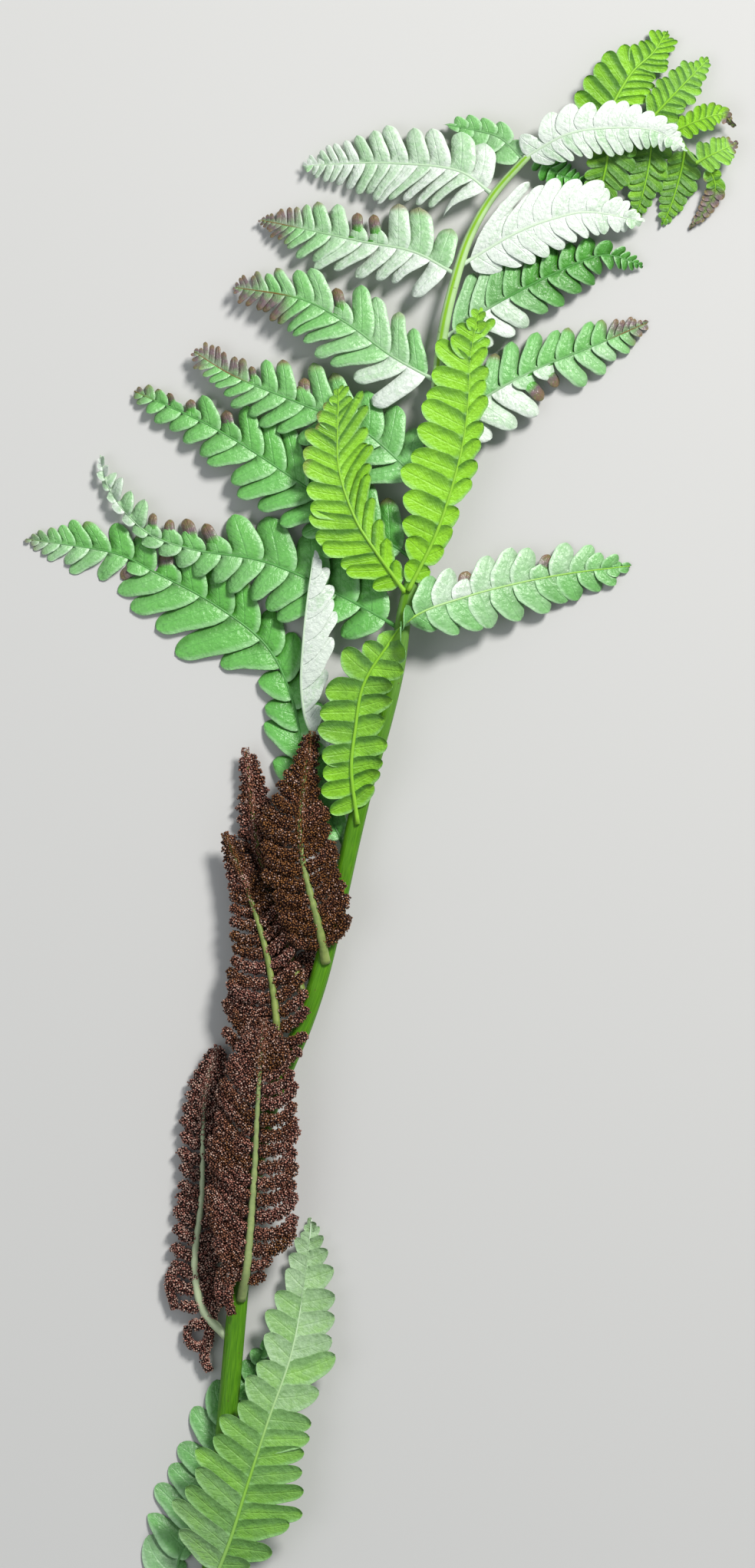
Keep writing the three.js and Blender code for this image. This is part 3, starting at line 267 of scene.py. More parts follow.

# Brown leaflets: a rib with pinnules, which are bent arms covered in spore cases.
# reach: share, reach of the pinnules. pitch: share, from one to the next. Both as above.
# bends: degrees that the inner and the outer half of a pinnule lean to the tip, left and right.
# lift: degrees that each side is tilted. pale: 0 for a green rib, 1 for a grey one. bare: share up
# to which the rib shows. tint: 0 for warm dark cases, 1 for cool light ones, which also carry more
# painted highlights.
# loose: curled pinnules at the foot.
BROWN = dict(
    fertile_pinna_1=dict(
        path=[(-13.8, -32, 10.6), (-15.6, -23.7, 12.6), (-19.6, -7.9, 12.4), (-20.8, 1.5, 11.6),
              (-20, 12.5, 10), (-17.6, 27.7, 8.2)],
        reach=[(0, 6), (0.15, 8.4), (0.35, 9.4, 8), (0.55, 9, 6.8), (0.67, 6.2, 4), (0.8, 3.2, 2)],
        bends=((4, 64), (16, 72)), lift=(5, 3), pitch=[(0, 4.1), (0.5, 3.9), (1, 1.9)], pale=0.1,
        bare=0.4, tint=0.05),
    fertile_pinna_2=dict(
        path=[(-20, -41.5, 6.6), (-25, -25.5, 4.6), (-29.6, -11.5, 3.6), (-32.6, 2.5, 3.2),
              (-35, 23.5, 3.2)],
        reach=[(0, 5), (0.3, 6.5, 7), (0.6, 4.4, 5.8), (0.74, 2.8, 4.4), (0.86, 1.4, 2.6)],
        bends=((8, 58), (8, 58)), lift=(-2, -2), pitch=[(0, 4.1), (0.5, 3.9), (1, 1.9)], pale=0,
        bare=0.1, tint=0.6),
    fertile_pinna_3=dict(
        path=[(-28.5, -62, 9), (-27.8, -57.5, 11.3), (-26.8, -50.1, 11.4), (-29, -31.9, 9.8),
              (-33, -17.5, 8), (-40.2, 1.5, 6.8)],
        reach=[(0, 11, 6), (0.15, 14, 7.6), (0.27, 12.2, 7.6), (0.4, 9.8, 7.2), (0.54, 7.4, 6.2),
               (0.7, 4.6, 4.8), (0.84, 2.4, 2.6)],
        bends=((2, 62), (14, 56)), lift=(-12, 11), pitch=[(0, 4.2), (0.5, 4), (1, 1.9)], pale=0.05,
        bare=0.66, tint=0.45),
    fertile_pinna_4=dict(
        path=[(-35.6, -119.5, 9.6), (-34.6, -112, 12.9), (-33.8, -103.9, 13), (-32.4, -83.9, 13.2),
              (-31.8, -70.7, 14.4), (-30.2, -46.5, 16)],
        reach=[(0, 6, 2), (0.1, 10, 4.4), (0.17, 11, 5.6), (0.2, 11), (0.4, 11, 10.4), (0.62, 9.4),
               (0.75, 7, 7.6), (0.86, 3.8, 4.8)],
        bends=((34, 62), (-8, 78)), lift=(-10, -4), pitch=[(0, 4.3), (0.6, 4.2), (1, 2)], pale=0.25,
        bare=0.72, tint=0.55,
        loose=[
            [(-34.8, -107, 12.3), (-39.5, -110.5, 11.2), (-41.8, -116, 9.6), (-40.8, -121.5, 9.2)],
            [(-35.2, -111.5, 12), (-38.6, -114.5, 11.4), (-39.4, -119.5, 11), (-38.4, -123.5, 10.8)],
        ]),
    fertile_pinna_5=dict(
        path=[(-40.4, -129.3, 5), (-45.8, -123.1, 3.8), (-48.2, -112, 3), (-46.4, -93.5, 2.9),
              (-45.4, -65.5, 3), (-42.2, -53.9, 3.2)],
        reach=[(0, 3), (0.2, 5.4, 6), (0.4, 5.4, 6.6), (0.7, 4.8, 5.6), (0.86, 2.8, 3)],
        bends=((2, 66), (24, 62)), lift=(-2, -2), pitch=[(0, 4.4), (0.6, 4.1), (1, 1.9)], pale=1,
        bare=0.7, tint=1.4,
        loose=[
            [(-47.6, -114.5, 2.8), (-52.6, -111.5, 2.6), (-54.8, -115.3, 2), (-53.4, -122.5, 1.6)],
            [(-44.2, -125.6, 3.4), (-44.8, -130.6, 2.6), (-47.2, -132.4, 2.1), (-49.8, -131, 1.9),
             (-50, -127, 1.8)],
            [(-44.6, -130.4, 2.6), (-45.8, -135.1, 1.9), (-44.4, -138.7, 1.6)],
        ]),
)


def unit(vectors):
    return vectors / np.linalg.norm(vectors, axis=-1, keepdims=True)


def smooth(low, high, x):
    t = np.clip((x - low) / (high - low), 0, 1)
    return t * t * (3 - 2 * t)


def column(table, index, t):
    """A column of the table at t. A row may have one value for both sides."""
    values = [row[min(index, len(row) - 1)] for row in table]
    return np.interp(t, [row[0] for row in table], values)


def spline(knots):
    """Points along a centripetal Catmull-Rom curve through the knots."""
    p = np.array(knots, float)
    p = np.vstack([2 * p[0] - p[1], p, 2 * p[-1] - p[-2]])
    s = (np.arange(SPLINE_STEPS) / SPLINE_STEPS)[:, None]
    out = []
    for p0, p1, p2, p3 in zip(p, p[1:], p[2:], p[3:]):
        d0, d1, d2 = (np.linalg.norm(b - a) ** 0.5 for a, b in ((p0, p1), (p1, p2), (p2, p3)))
        m1 = ((p1 - p0) / d0 - (p2 - p0) / (d0 + d1) + (p2 - p1) / d1) * d1
        m2 = ((p2 - p1) / d1 - (p3 - p1) / (d1 + d2) + (p3 - p2) / d2) * d1
        out.append(p1 + m1 * s + (3 * (p2 - p1) - 2 * m1 - m2) * s**2
                   + (2 * (p1 - p2) + m1 + m2) * s**3)
    return np.vstack(out + [p[-2:-1]])


class Path:
    """A curve with frames: its direction, its left and its upper side, turned by a roll."""

    def __init__(self, knots):
        self.points = spline(knots)
        steps = np.linalg.norm(np.diff(self.points, axis=0), axis=1)
        self.length = steps.sum()
        self.share = np.concatenate([[0], np.cumsum(steps)]) / self.length
        self.tangent = unit(np.gradient(self.points, self.share, axis=0))

    def frames(self, t, roll=0):
        """Origin, direction, left and upper side at t, which may lie past the ends."""
        inside = np.clip(t, 0, 1)
        origin = np.stack([np.interp(inside, self.share, c) for c in self.points.T], -1)
        along = unit(np.stack([np.interp(inside, self.share, c) for c in self.tangent.T], -1))
        origin = origin + along * ((t - inside) * self.length)[..., None]
        level = unit(np.cross(UP, along))
        above = np.cross(along, level)
        turn = np.radians(roll)[..., None]
        left = level * np.cos(turn) + above * np.sin(turn)
        normal = above * np.cos(turn) - level * np.sin(turn)
        return origin, along, left, normal


stalk_path = Path([row[:3] for row in STALK])
STALK_SHARE = [stalk_path.share[SPLINE_STEPS * i] for i in range(len(STALK))]


def stalk_radius(t):
    return np.interp(t, STALK_SHARE, [row[3] for row in STALK])


def seated(path, depth=0.25):
    """Moves a leaflet's foot to the stalk's surface, a little way in."""
    foot = np.array(path[0], float)
    away = foot - stalk_path.points
    nearest = np.argmin(np.linalg.norm(away, axis=1))
    outward = unit(away[nearest])
    reach = stalk_radius(stalk_path.share[nearest]) - depth
    return [tuple(stalk_path.points[nearest] + outward * reach), *path[1:]]


def add_object(name, data):
    item = bpy.data.objects.new(name, data)
    bpy.context.scene.collection.objects.link(item)
    return item


class Build:
    """Collects shells into one mesh, with a material, a lobe place and a paint on each point."""

    def __init__(self):
        self.points, self.faces, self.slots, self.places, self.paints = [], [], [], [], []
        self.count = 0

    def add(self, points, faces, slots, place, paint):
        """faces: arrays of corners, each with its own slot in slots."""
        self.points.append(points)
        for corners, slot in zip(faces, slots):
            self.faces.append(corners + self.count)
            self.slots.append(np.full(len(corners), slot))
        self.places.append(place)
        self.paints.append(np.broadcast_to(paint, (len(points), 4)))
        self.count += len(points)

    def piece(self, name, node, materials):
        points = above_floor(np.vstack(self.points)) * MM
        faces = [corners for part in self.faces for corners in part.tolist()]
        loops = np.concatenate([part.ravel() for part in self.faces])
        mesh = bpy.data.meshes.new(name)
        mesh.from_pydata(points.tolist(), [], faces)
        for material in materials:
            mesh.materials.append(material)
        mesh.polygons.foreach_set("material_index", np.concatenate(self.slots).astype(np.int32))
        mesh.shade_smooth()
        layer = mesh.uv_layers.new(name="lobe")
        layer.data.foreach_set("uv", np.vstack(self.places)[loops].astype(np.float32).ravel())
        paint = mesh.color_attributes.new("paint", "FLOAT_COLOR", "POINT")
        paint.data.foreach_set("color", np.vstack(self.paints).astype(np.float32).ravel())
        mesh.validate()
        item = add_object(name, mesh)
        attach(item, "root")
        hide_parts(node)


def above_floor(points):
    """Presses what is near or under the surface up above it, and keeps the order of heights."""
    low = points[:, 2] < FLOOR_BAND
    points[low, 2] = FLOOR_BAND * np.exp((points[low, 2] - FLOOR_BAND) / FLOOR_BAND)
    return points


def sheet_faces(rows, columns, flip):
    """Quads of a top sheet, of a bottom sheet and of the rim between them."""
    count = rows * columns
    index = np.arange(count).reshape(rows, columns)
    a, b = index[:-1, :-1].ravel(), index[1:, :-1].ravel()
    c, d = index[1:, 1:].ravel(), index[:-1, 1:].ravel()
    top = np.stack([a, b, c, d], 1)
    border = np.concatenate([index[0, :-1], index[:-1, -1], index[-1, :0:-1], index[:0:-1, 0]])
    after = np.roll(border, -1)
    rim = np.stack([border, after, after + count, border + count], 1)
    bottom = top[:, ::-1] + count
    return [f[:, ::-1] if flip else f for f in (top, bottom, rim)]


def tube(build, centres, lefts, normals, radii, sides, slot, paint, shape=None, cap_slot=None):
    """Closed tube through the centres.

    paint: one for all, or one for each centre. shape: factor on the radius round the section.
    cap_slot: the slot of the cap at the start, where it isn't the wall's.
    """
    angle = 2 * np.pi * np.arange(sides) / sides
    factor = np.ones(sides) if shape is None else shape(angle)
    ring = (np.cos(angle) * factor)[None, :, None] * lefts[:, None]
    ring = ring + (np.sin(angle) * factor)[None, :, None] * normals[:, None]
    rows = len(centres)
    points = (centres[:, None] + ring * radii[:, None, None]).reshape(-1, 3)
    points = np.vstack([points, centres[0], centres[-1]])
    index = np.arange(rows * sides).reshape(rows, sides)
    after = np.roll(index, -1, axis=1)
    wall = np.stack([index[:-1], after[:-1], after[1:], index[1:]], -1).reshape(-1, 4)
    first = np.stack([np.full(sides, rows * sides), after[0], index[0]], 1)
    last = np.stack([np.full(sides, rows * sides + 1), index[-1], after[-1]], 1)
    place = np.stack([np.append(np.repeat(np.linspace(0, 1, rows), sides), [0, 1]),
                      np.append(np.tile(np.arange(sides) / sides, rows), [0.5, 0.5])], 1)
    if np.ndim(paint) == 2:
        paint = np.vstack([np.repeat(paint, sides, axis=0), paint[[0, -1]]])
    cap = slot if cap_slot is None else cap_slot
    build.add(points, [wall, first, last], [slot, cap, slot], place, paint)


# Green leaflets

LOBE_ROWS = 14
LOBE_COLUMNS = 11
LEAF_THICKNESS = 0.26
RIB_ROWS = 60
RIB_SIDES = 10
FIRST_LOBE = 0.03
LAST_LOBE = 0.985
FACE, BACK, RIB = 0, 1, 2

# What a leaflet's table leaves out, and what it leaves out where the back is up
NEVER = 1.2
DEFAULTS = dict(
    roll=(0, 0), tip=0, back=False, sides=(LEFT, RIGHT), flat=1, taper=1, uneven=0,
    sweep=[(0, 24), (1, 24)], pale=[(0, 0), (1, 0)], tone=1, brown=(NEVER, NEVER),
    flecks=(1, 0), folded=[])
BACK_DEFAULTS = dict(flat=0.4, taper=0.6, uneven=0.6)

# Share along a leaflet, and its outline's share of the greatest width
OUTLINE = [(0, 0.6), (0.05, 0.9), (0.15, 1), (0.45, 0.96), (0.65, 0.76), (0.82, 0.46), (0.94, 0.2)]
TIP_HALF = 0.5

# A lobe has its full relief from this pitch and this reach on
FULL_PITCH = 4.2
FULL_REACH = 6
# Millimetres of relief: the arch along a lobe, how far its margins fall away, the groove of its
# midvein, the one inside its near margin, how far it tilts, and how far a long one droops
ARCH = 0.5
NEAR_MARGIN, FAR_MARGIN = 0.8, 0.9
MIDVEIN = 0.13
TROUGH = 0.2
TILT = 0.8
DROOP, DROOP_REACH = 0.9, 8
# How much wider than its pitch a lobe without relief is
CLOSER = 0.5
# Leaflets crowd their lobes between these shares
CROWDED = (0.72, 0.92)


def form_of(spec):
    """Rows of share, left and right half widths, and degrees of roll."""
    if "form" in spec:
        rows = [(*row, 0)[:4] for row in spec["form"]]
        return rows if rows[-1][0] == 1 else rows + [(1, TIP_HALF, TIP_HALF, rows[-1][3])]
    (left, right), (first, last) = spec["width"], spec["roll"]
    rows = []
    for t, share in OUTLINE:
        share = max(share, spec["tip"])
        heel = spec.get("heel", share) if t < 0.1 else share
        rows.append((t, left * heel, right * share, first + (last - first) * t))
    return rows + [(1, TIP_HALF, TIP_HALF, last)]


def side_column(side):
    return 1 if side == LEFT else 2


def spans(pitch, side, length, first=FIRST_LOBE, last=LAST_LOBE):
    """Start and end shares of what stands along one side, spaced by the pitch table."""
    edges = [first]
    while edges[-1] < last:
        edges.append(edges[-1] + column(pitch, side_column(side), edges[-1]) / length)
    return list(zip(edges, edges[1:]))


def lobe_grid(blunt):
    """Shares u from the rib to the tip and v from the near margin to the far one, and the width.

    blunt: share of the lobe that its round tip takes.
    """
    round_rows = LOBE_ROWS // 2
    quarter = np.linspace(0, np.pi / 2, round_rows)
    straight = (1 - blunt) * np.linspace(0, 1, LOBE_ROWS - round_rows + 1)[:-1] ** 1.6
    u = np.concatenate([straight, 1 - blunt + blunt * np.sin(quarter)])[:, None]
    v = np.sin(np.linspace(-1, 1, LOBE_COLUMNS) * np.pi / 2)[None, :]
    width = np.concatenate([np.ones(len(straight)), np.maximum(np.cos(quarter), 0.2)])[:, None]
    return u, v, width


def margins(u, v, bulge, taper):
    """Places of the two margins: the near one bulges at its foot, and both draw in outwards."""
    foot = np.sin(np.pi / 2 * np.clip(u / 0.2, 0, 1))
    near = 0.9 + (0.1 + bulge) * foot - bulge * smooth(0.2, 0.7, u)
    near = near - 0.14 * taper * smooth(0.4, 1, u)
    drawn_in = 0.1 * smooth(0.15, 0.4, u) + 0.08 * smooth(0.4, 1, u)
    far = 1.1 - 0.1 * smooth(0, 0.18, u) - taper * drawn_in
    return np.where(v < 0, near, far)


def surface(u, v, width, reach, size, flat, crowded, lower, rng):
    """Height of a lobe's face, and of the ridge that its midvein makes below."""
    relief = size * min(1, reach / FULL_REACH) * flat
    root = smooth(0.02, 0.22, u)
    phase, sway, nod, twist = rng.uniform(-1, 1, 4)
    droop = -DROOP * u**2 * min(1, reach / DROOP_REACH)
    arch = ARCH * np.sin(np.pi * np.clip(u * 1.06, 0, 1)) * relief
    margin = np.where(v < 0, NEAR_MARGIN, FAR_MARGIN)
    pillow = -margin * np.abs(v) ** 3 * root * relief - 0.6 * (1 - width) * relief
    midvein = -MIDVEIN * np.exp(-(v / 0.12) ** 2) * root * (1 - u**3) * relief
    trough = -TROUGH * np.exp(-((v + 0.55) / 0.16) ** 2) * root * (1 - u) ** 0.5 * relief
    tilt = -TILT * flat * v * root * size * (1 - 0.35 * u)
    hollow = -0.25 * (1 - smooth(0, 0.12, u)) * size
    ripple = 0.2 * np.sin(6 * u + 3 * phase) * v * sway * root * relief
    bend = 0.45 * size * nod * u**2 + 0.3 * size * twist * v * u + 1.1 * crowded * sway * u
    ridge = 0.1 * np.exp(-(v / 0.1) ** 2) * root * (1 - u**2) * relief
    rise = droop + arch + pillow + midvein + trough + tilt + hollow + ripple + bend
    return rise - lower * root, ridge


def lobe(build, path, spec, side, span, paint, rng, reach=1, girth=1, lower=0, ear=1, taper=1):
    """One lobe: a pillow with its near margin raised over the next one down the leaflet.

    reach and girth scale its length and width, lower sets it under its neighbours, ear scales
    the bulge of its near margin, and taper how much it narrows.
    """
    index = side_column(side)
    form, up, flat = form_of(spec), -1 if spec["back"] else 1, spec["flat"]
    middle = (span[0] + span[1]) / 2
    pitch = (span[1] - span[0]) * path.length
    size = min(1.0, pitch / FULL_PITCH)
    crowded = smooth(*CROWDED, middle)
    uneven = crowded + spec["uneven"]
    half = column(form, index, middle) * reach
    half *= rng.uniform(0.9 - 0.06 * uneven, 1.07 + 0.1 * uneven)
    lean = math.radians(column(spec["sweep"], index, middle) + rng.uniform(-5, 5) * (1 + uneven))
    sine, cosine = math.sin(lean), math.cos(lean)
    girth = girth * (1 + CLOSER * (1 - flat))

    breadth = 0.5 * pitch * girth * cosine
    u, v, rounding = lobe_grid(min(0.6, max(0.12, 1.05 * breadth * cosine / half)))
    turned = smooth(0, 0.32, u)
    bulge = ear * (0.1 + 0.3 * sine) * rng.uniform(0.8, 1.15)
    width = 0.5 * pitch * margins(u, v, bulge, taper * spec["taper"]) * rounding
    width = width * (1 + (girth - 1) * smooth(0.05, 0.3, u))
    beside = v * width * (1 - turned * sine**2)
    outward = -v * width * turned * cosine * sine
    curl = rng.uniform(-0.05, 0.2) * pitch * u**2
    out = np.maximum(u * half + outward, 0.12 * u * half)
    t = middle + (u * half * math.tan(lean) + curl + beside) / path.length

    rise, ridge = surface(u, v, rounding, half, size, flat, crowded, lower, rng)
    origin, _, left, normal = path.frames(t, column(form, 3, np.clip(t, 0, 1)))
    face = origin + left * (side * out)[..., None] + normal * (up * rise)[..., None]
    depth = LEAF_THICKNESS * (0.55 + 0.45 * size) + ridge
    back = face - normal * (up * depth)[..., None]
    points = np.concatenate([face.reshape(-1, 3), back.reshape(-1, 3)])

    place = np.stack([(u + 0 * v).ravel(), (v * 0.5 + 0.5 + 0 * u).ravel()], 1)
    brown = paint["brown"](u + 0 * v, t)
    same = np.ones(brown.shape)
    chance = rng.uniform()
    colour = np.stack([brown, paint["pale"] * same, paint["tone"] * same, chance * same], -1)
    faces = sheet_faces(LOBE_ROWS, LOBE_COLUMNS, flip=(side * up > 0))
    build.add(points, faces, [FACE, BACK, FACE if up > 0 else BACK], np.tile(place, (2, 1)),
              np.tile(colour.reshape(-1, 4), (2, 1)))


def lobe_paint(spec, side, share, rng):
    """Painted highlight, tone and the brown share of one lobe."""
    pale = column(spec["pale"], side_column(side), share) * rng.uniform(0.75, 1.1)
    start = spec["brown"][0 if side == LEFT else 1]
    first, last = spec["flecks"]
    upper = LEFT if spec["path"][-1][0] > spec["path"][0][0] else RIGHT
    fading = start < NEVER and side == upper and rng.uniform() < 0.4
    tip = rng.uniform(0.3, 0.9) if fading or side == LEFT and first < share < last else 0

    def brown(u, t):
        dry = smooth(start, start + 0.1, t) * (0.55 + 0.45 * smooth(0.1, 0.5, u))
        return np.maximum(dry, tip * smooth(0.78, 0.95, u))

    return dict(pale=min(1.0, pale), tone=spec["tone"], brown=brown)


def rib(build, path, spec):
    """Rib under the face: a shallow groove's floor there, a ridge on the back."""
    form = form_of(spec)
    up = -1 if spec["back"] else 1
    scale = min(1.0, max(max(row[1], row[2]) for row in form) / 8)
    t = np.linspace(-0.5 / path.length, 0.995, RIB_ROWS)
    inside = np.clip(t, 0, 1)
    origin, _, left, normal = path.frames(t, column(form, 3, inside))
    radius = (0.5 - 0.36 * inside**0.8) * scale + 0.04
    petiole = 0.18 * np.exp(-inside * path.length / 1.5)
    centres = origin - normal * (up * (radius * 0.92 + 0.04))[:, None]
    brown = smooth(min(spec["brown"]), min(spec["brown"]) + 0.12, t)
    # The rib takes the mean painted highlight of its two rows of lobes
    pale = (column(spec["pale"], 1, inside) + column(spec["pale"], 2, inside)) / 2
    paint = np.stack([brown, pale, 0 * t + spec["tone"], 0 * t + 0.5], 1)
    tube(build, centres, left, normal, radius + petiole, RIB_SIDES, RIB, paint)


def green_leaflet(name, spec, materials, rng):
    spec = DEFAULTS | (BACK_DEFAULTS if "back" in spec else {}) | spec
    path = Path(seated(spec["path"]))
    build = Build()
    for side in spec["sides"]:
        places = spans(spec["pitch"], side, path.length)
        middles = np.mean(places, axis=1)
        folded = {int(np.argmin(np.abs(middles - share)))
                  for share, where in spec["folded"] if where == side}
        for i, span in enumerate(places):
            paint = lobe_paint(spec, side, span[0], rng)
            if i in folded:
                dry = dict(paint, brown=lambda u, t: smooth(0.4, 0.6, u), pale=0)
                lobe(build, path, spec, side, span, dry, rng, 0.7, 0.62, lower=0.3, ear=0, taper=0)
                lobe(build, path, spec, side, span, paint, rng, reach=0.4, girth=0.95)
            else:
                lobe(build, path, spec, side, span, paint, rng)
    rib(build, path, spec)
    build.piece(name + "_leaf", name, materials)


# Brown leaflets

CASE_SPACING = 0.58
ROW_SPACING = CASE_SPACING * 0.87
CASE_SIDES = 5
# The core of a pinnule, near black as painted shade between its cases: its share of the radius, its
# sides, and the length of a row
CORE_SHARE = 0.8
CORE_SIDES = 8
CORE_ROW = 0.8
# Cases deeper than this in another arm are left out; those this far out of it get no painted shade
BURIED, FREE = -0.3, 0.45
FIRST_PINNULE, LAST_PINNULE = 0.05, 0.96
# Length of a pinnule's outer half for an inner half of 1, and of one lump on it
OUTER_HALF = 0.8
LUMP_LENGTH = 2.4
TIP_REACH = (1, 0.6)
# Degrees that pinnules close up at the leaflet's tip
TIP_CLOSING = 20
ROD_CHECKS = 17
COSTA_SIDES = 12
COSTA_CASES = 6
COSTA_CASE_ROW = 0.45
COSTA, CORE, CASES = 0, 1, 2


def case_template():
    """Points and faces of one case: a crown, a ring and a foot."""
    angle = 2 * np.pi * np.arange(CASE_SIDES) / CASE_SIDES
    ring = np.stack([np.cos(angle), np.sin(angle), np.full(CASE_SIDES, 0.1)], 1)
    points = np.vstack([[0, 0, 1.0], ring, [0, 0, -0.8]])
    sides = [(i + 1, (i + 1) % CASE_SIDES + 1) for i in range(CASE_SIDES)]
    return points, np.array([(0, a, b) for a, b in sides] + [(CASE_SIDES + 1, b, a) for a, b in sides])


CASE_POINTS, CASE_FACES = case_template()


def add_cases(build, centres, outward, rng, shade, light):
    """Spore cases at the centres, each a small faceted bead that faces outward.

    light: 0 for a case deep between two arms, which gets painted shade, 1 for one that lies free.
    """
    count = len(centres)
    axis = unit(outward + rng.normal(0, 0.25, (count, 3)))
    helper = np.where(np.abs(axis[:, 2:]) < 0.8, [[0, 0, 1.0]], [[1.0, 0, 0]])
    side = unit(np.cross(helper, axis))
    other = np.cross(axis, side)
    size = CASE_SPACING * rng.uniform(0.4, 0.68, count)
    local = CASE_POINTS[None] * size[:, None, None]
    points = (centres[:, None] + local[..., :1] * side[:, None] + local[..., 1:2] * other[:, None]
              + local[..., 2:] * axis[:, None])
    each = len(CASE_POINTS)
    faces = (CASE_FACES[None] + each * np.arange(count)[:, None, None]).reshape(-1, 3)
    chance, second = rng.uniform(0, 1, count), rng.uniform(0, 1, count)
    paint = np.stack([chance, np.full(count, shade), second, np.ones(count)], 1)
    paint = np.repeat(paint, each, axis=0)
    # The crown point carries how free of painted shade the case is; lower points carry none
    paint[:, 3] = np.tile(CASE_POINTS[:, 2] > 0.5, count) * np.repeat(0.1 + 0.9 * light, each)
    build.add(points.reshape(-1, 3), [faces], [CASES], np.zeros((count * each, 2)), paint)


def around(path, places, angle):
    """Origins and directions along the path, and the outward directions at these angles."""
    origin, along, left, normal = path.frames(places)
    radial = left * np.cos(angle)[:, None] + normal * np.sin(angle)[:, None]
    return origin, along, radial


class Rod:
    """A lumpy arm along a path, with spore cases all round it from its first share on."""

    def __init__(self, knots, radius_at, shade, first=0):
        self.path, self.radius_at, self.shade, self.first = Path(knots), radius_at, shade, first

    def clearance(self, points):
        """How far the points are above this rod's surface."""
        q = np.linspace(0, 1, ROD_CHECKS)
        away = np.linalg.norm(points[:, None] - self.path.frames(q)[0][None], axis=2)
        return np.min(away - self.radius_at(q), axis=1)

    def add_to(self, build, others, rng):
        path, radius_at = self.path, self.radius_at
        t = np.linspace(0, 1, max(6, int(path.length / CORE_ROW)))
        origin, _, left, normal = path.frames(t)
        tube(build, origin, left, normal, radius_at(t) * CORE_SHARE, CORE_SIDES, CORE,
             np.array([0.1, self.shade, 0.5, 1]))
        centres, outward = [], []
        rows = max(2, int(path.length * (1 - self.first) / ROW_SPACING))
        for row in range(rows + 1):
            share = self.first + (1 - self.first) * row / rows
            radius = radius_at(share)
            count = max(1, int(2 * np.pi * radius / CASE_SPACING))
            spin = np.arange(count) + 0.5 * (row % 2) + rng.uniform(-0.3, 0.3, count)
            slide = rng.normal(0, 0.2 * CASE_SPACING / path.length, count)
            place = np.clip(share + slide, 0, 1)
            origin, along, radial = around(path, place, 2 * np.pi * spin / count)
            ending = np.clip((share - 0.9) / 0.1, 0, 1)
            centres.append(origin + radial * radius * rng.uniform(0.82, 1.14, count)[:, None])
            outward.append(radial + along * ending)
        centres, outward = np.vstack(centres), unit(np.vstack(outward))
        clear = np.min([other.clearance(centres) for other in others], axis=0)
        shown = clear > BURIED
        # Painted shade on cases close to another arm
        light = smooth(BURIED, FREE, clear[shown])
        add_cases(build, centres[shown], outward[shown], rng, self.shade, light)


def costa_radius(t):
    return 1.3 - 0.85 * np.clip(t, 0, 1) ** 0.7


def loose_radius(q):
    return 1.3 - 0.3 * q


def pinnule(path, spec, side, t, widest, rng):
    """One arm, out from the rib and then bent towards the leaflet's tip."""
    index = side_column(side)
    reach = column(spec["reach"] + [TIP_REACH], index, t) * rng.uniform(0.94, 1.08)
    lift = math.radians(spec["lift"][index - 1] + rng.uniform(-7, 7))
    origin, along, left, normal = (x[0] for x in path.frames(np.array([t])))
    out = left * side * math.cos(lift) + normal * math.sin(lift)
    closing = TIP_CLOSING * smooth(0.6, 0.95, t)
    turns = [math.radians(bend + closing + rng.uniform(-6, 6)) for bend in spec["bends"][index - 1]]
    first, second = (out * math.cos(turn) + along * math.sin(turn) for turn in turns)
    inner = reach / (math.cos(turns[0]) + OUTER_HALF * math.cos(turns[1]))
    base = origin - normal * 0.7 + out * 0.4
    elbow = base + first * inner
    end = elbow + second * inner * OUTER_HALF
    s = np.linspace(0, 1, 5)[:, None]
    knots = base * (1 - s) ** 2 + elbow * 2 * s * (1 - s) + end * s**2
    thick = 1.15 + 0.55 * reach / widest
    phase = rng.uniform(0, 6)
    lumps = 2 * math.pi * inner * (1 + OUTER_HALF) / LUMP_LENGTH

    def radius_at(q):
        lumpy = 1 + 0.14 * np.sin(lumps * q + phase)
        ending = np.sqrt(1 - 0.7 * np.clip((q - 0.86) / 0.14, 0, 1) ** 2)
        return thick * (1 - 0.16 * q) * lumpy * ending

    return Rod(knots, radius_at, spec["tint"] + rng.uniform(-0.2, 0.2), first=0.06)


def costa(build, path, spec, rng):
    """The rib of a brown leaflet, with spore cases on its upper side past its bare share."""
    t = np.linspace(-0.4 / path.length, 0.99, RIB_ROWS)
    origin, _, left, normal = path.frames(t)
    tube(build, origin, left, normal, costa_radius(t), COSTA_SIDES, COSTA,
         np.array([spec["pale"], 0, 0.5, 1]))
    bare = spec["bare"]
    rows = int(path.length * (1 - bare) / COSTA_CASE_ROW)
    for row, place in enumerate(np.linspace(bare, 1, rows)):
        spin = np.arange(COSTA_CASES) + 0.5 * (row % 2)
        angle = np.pi * spin / COSTA_CASES + rng.uniform(-0.2, 0.2, COSTA_CASES)
        origin, _, radial = around(path, np.full(COSTA_CASES, place), angle)
        kept = rng.uniform(size=COSTA_CASES) < smooth(bare, bare + 0.15, place) + 0.15
        if kept.any():
            height = costa_radius(place) + rng.uniform(0.2, 0.7, COSTA_CASES)
            centres = origin + radial * height[:, None]
            add_cases(build, centres[kept], radial[kept], rng, spec["tint"], np.ones(kept.sum()))


def brown_leaflet(name, spec, materials, rng):
    path = Path(seated(spec["path"]))
    build = Build()
    widest = max(max(row[1:]) for row in spec["reach"])
    rods = []
    for side in (LEFT, RIGHT):
        for start, end in spans(spec["pitch"], side, path.length, FIRST_PINNULE, LAST_PINNULE):
            rods.append(pinnule(path, spec, side, (start + end) / 2, widest, rng))
    rods += [Rod(points, loose_radius, spec["tint"]) for points in spec.get("loose", [])]
    for rod in rods:
        rod.add_to(build, [other for other in rods if other is not rod], rng)
    costa(build, path, spec, rng)
    build.piece(name + "_cases", name, materials)


# Materials

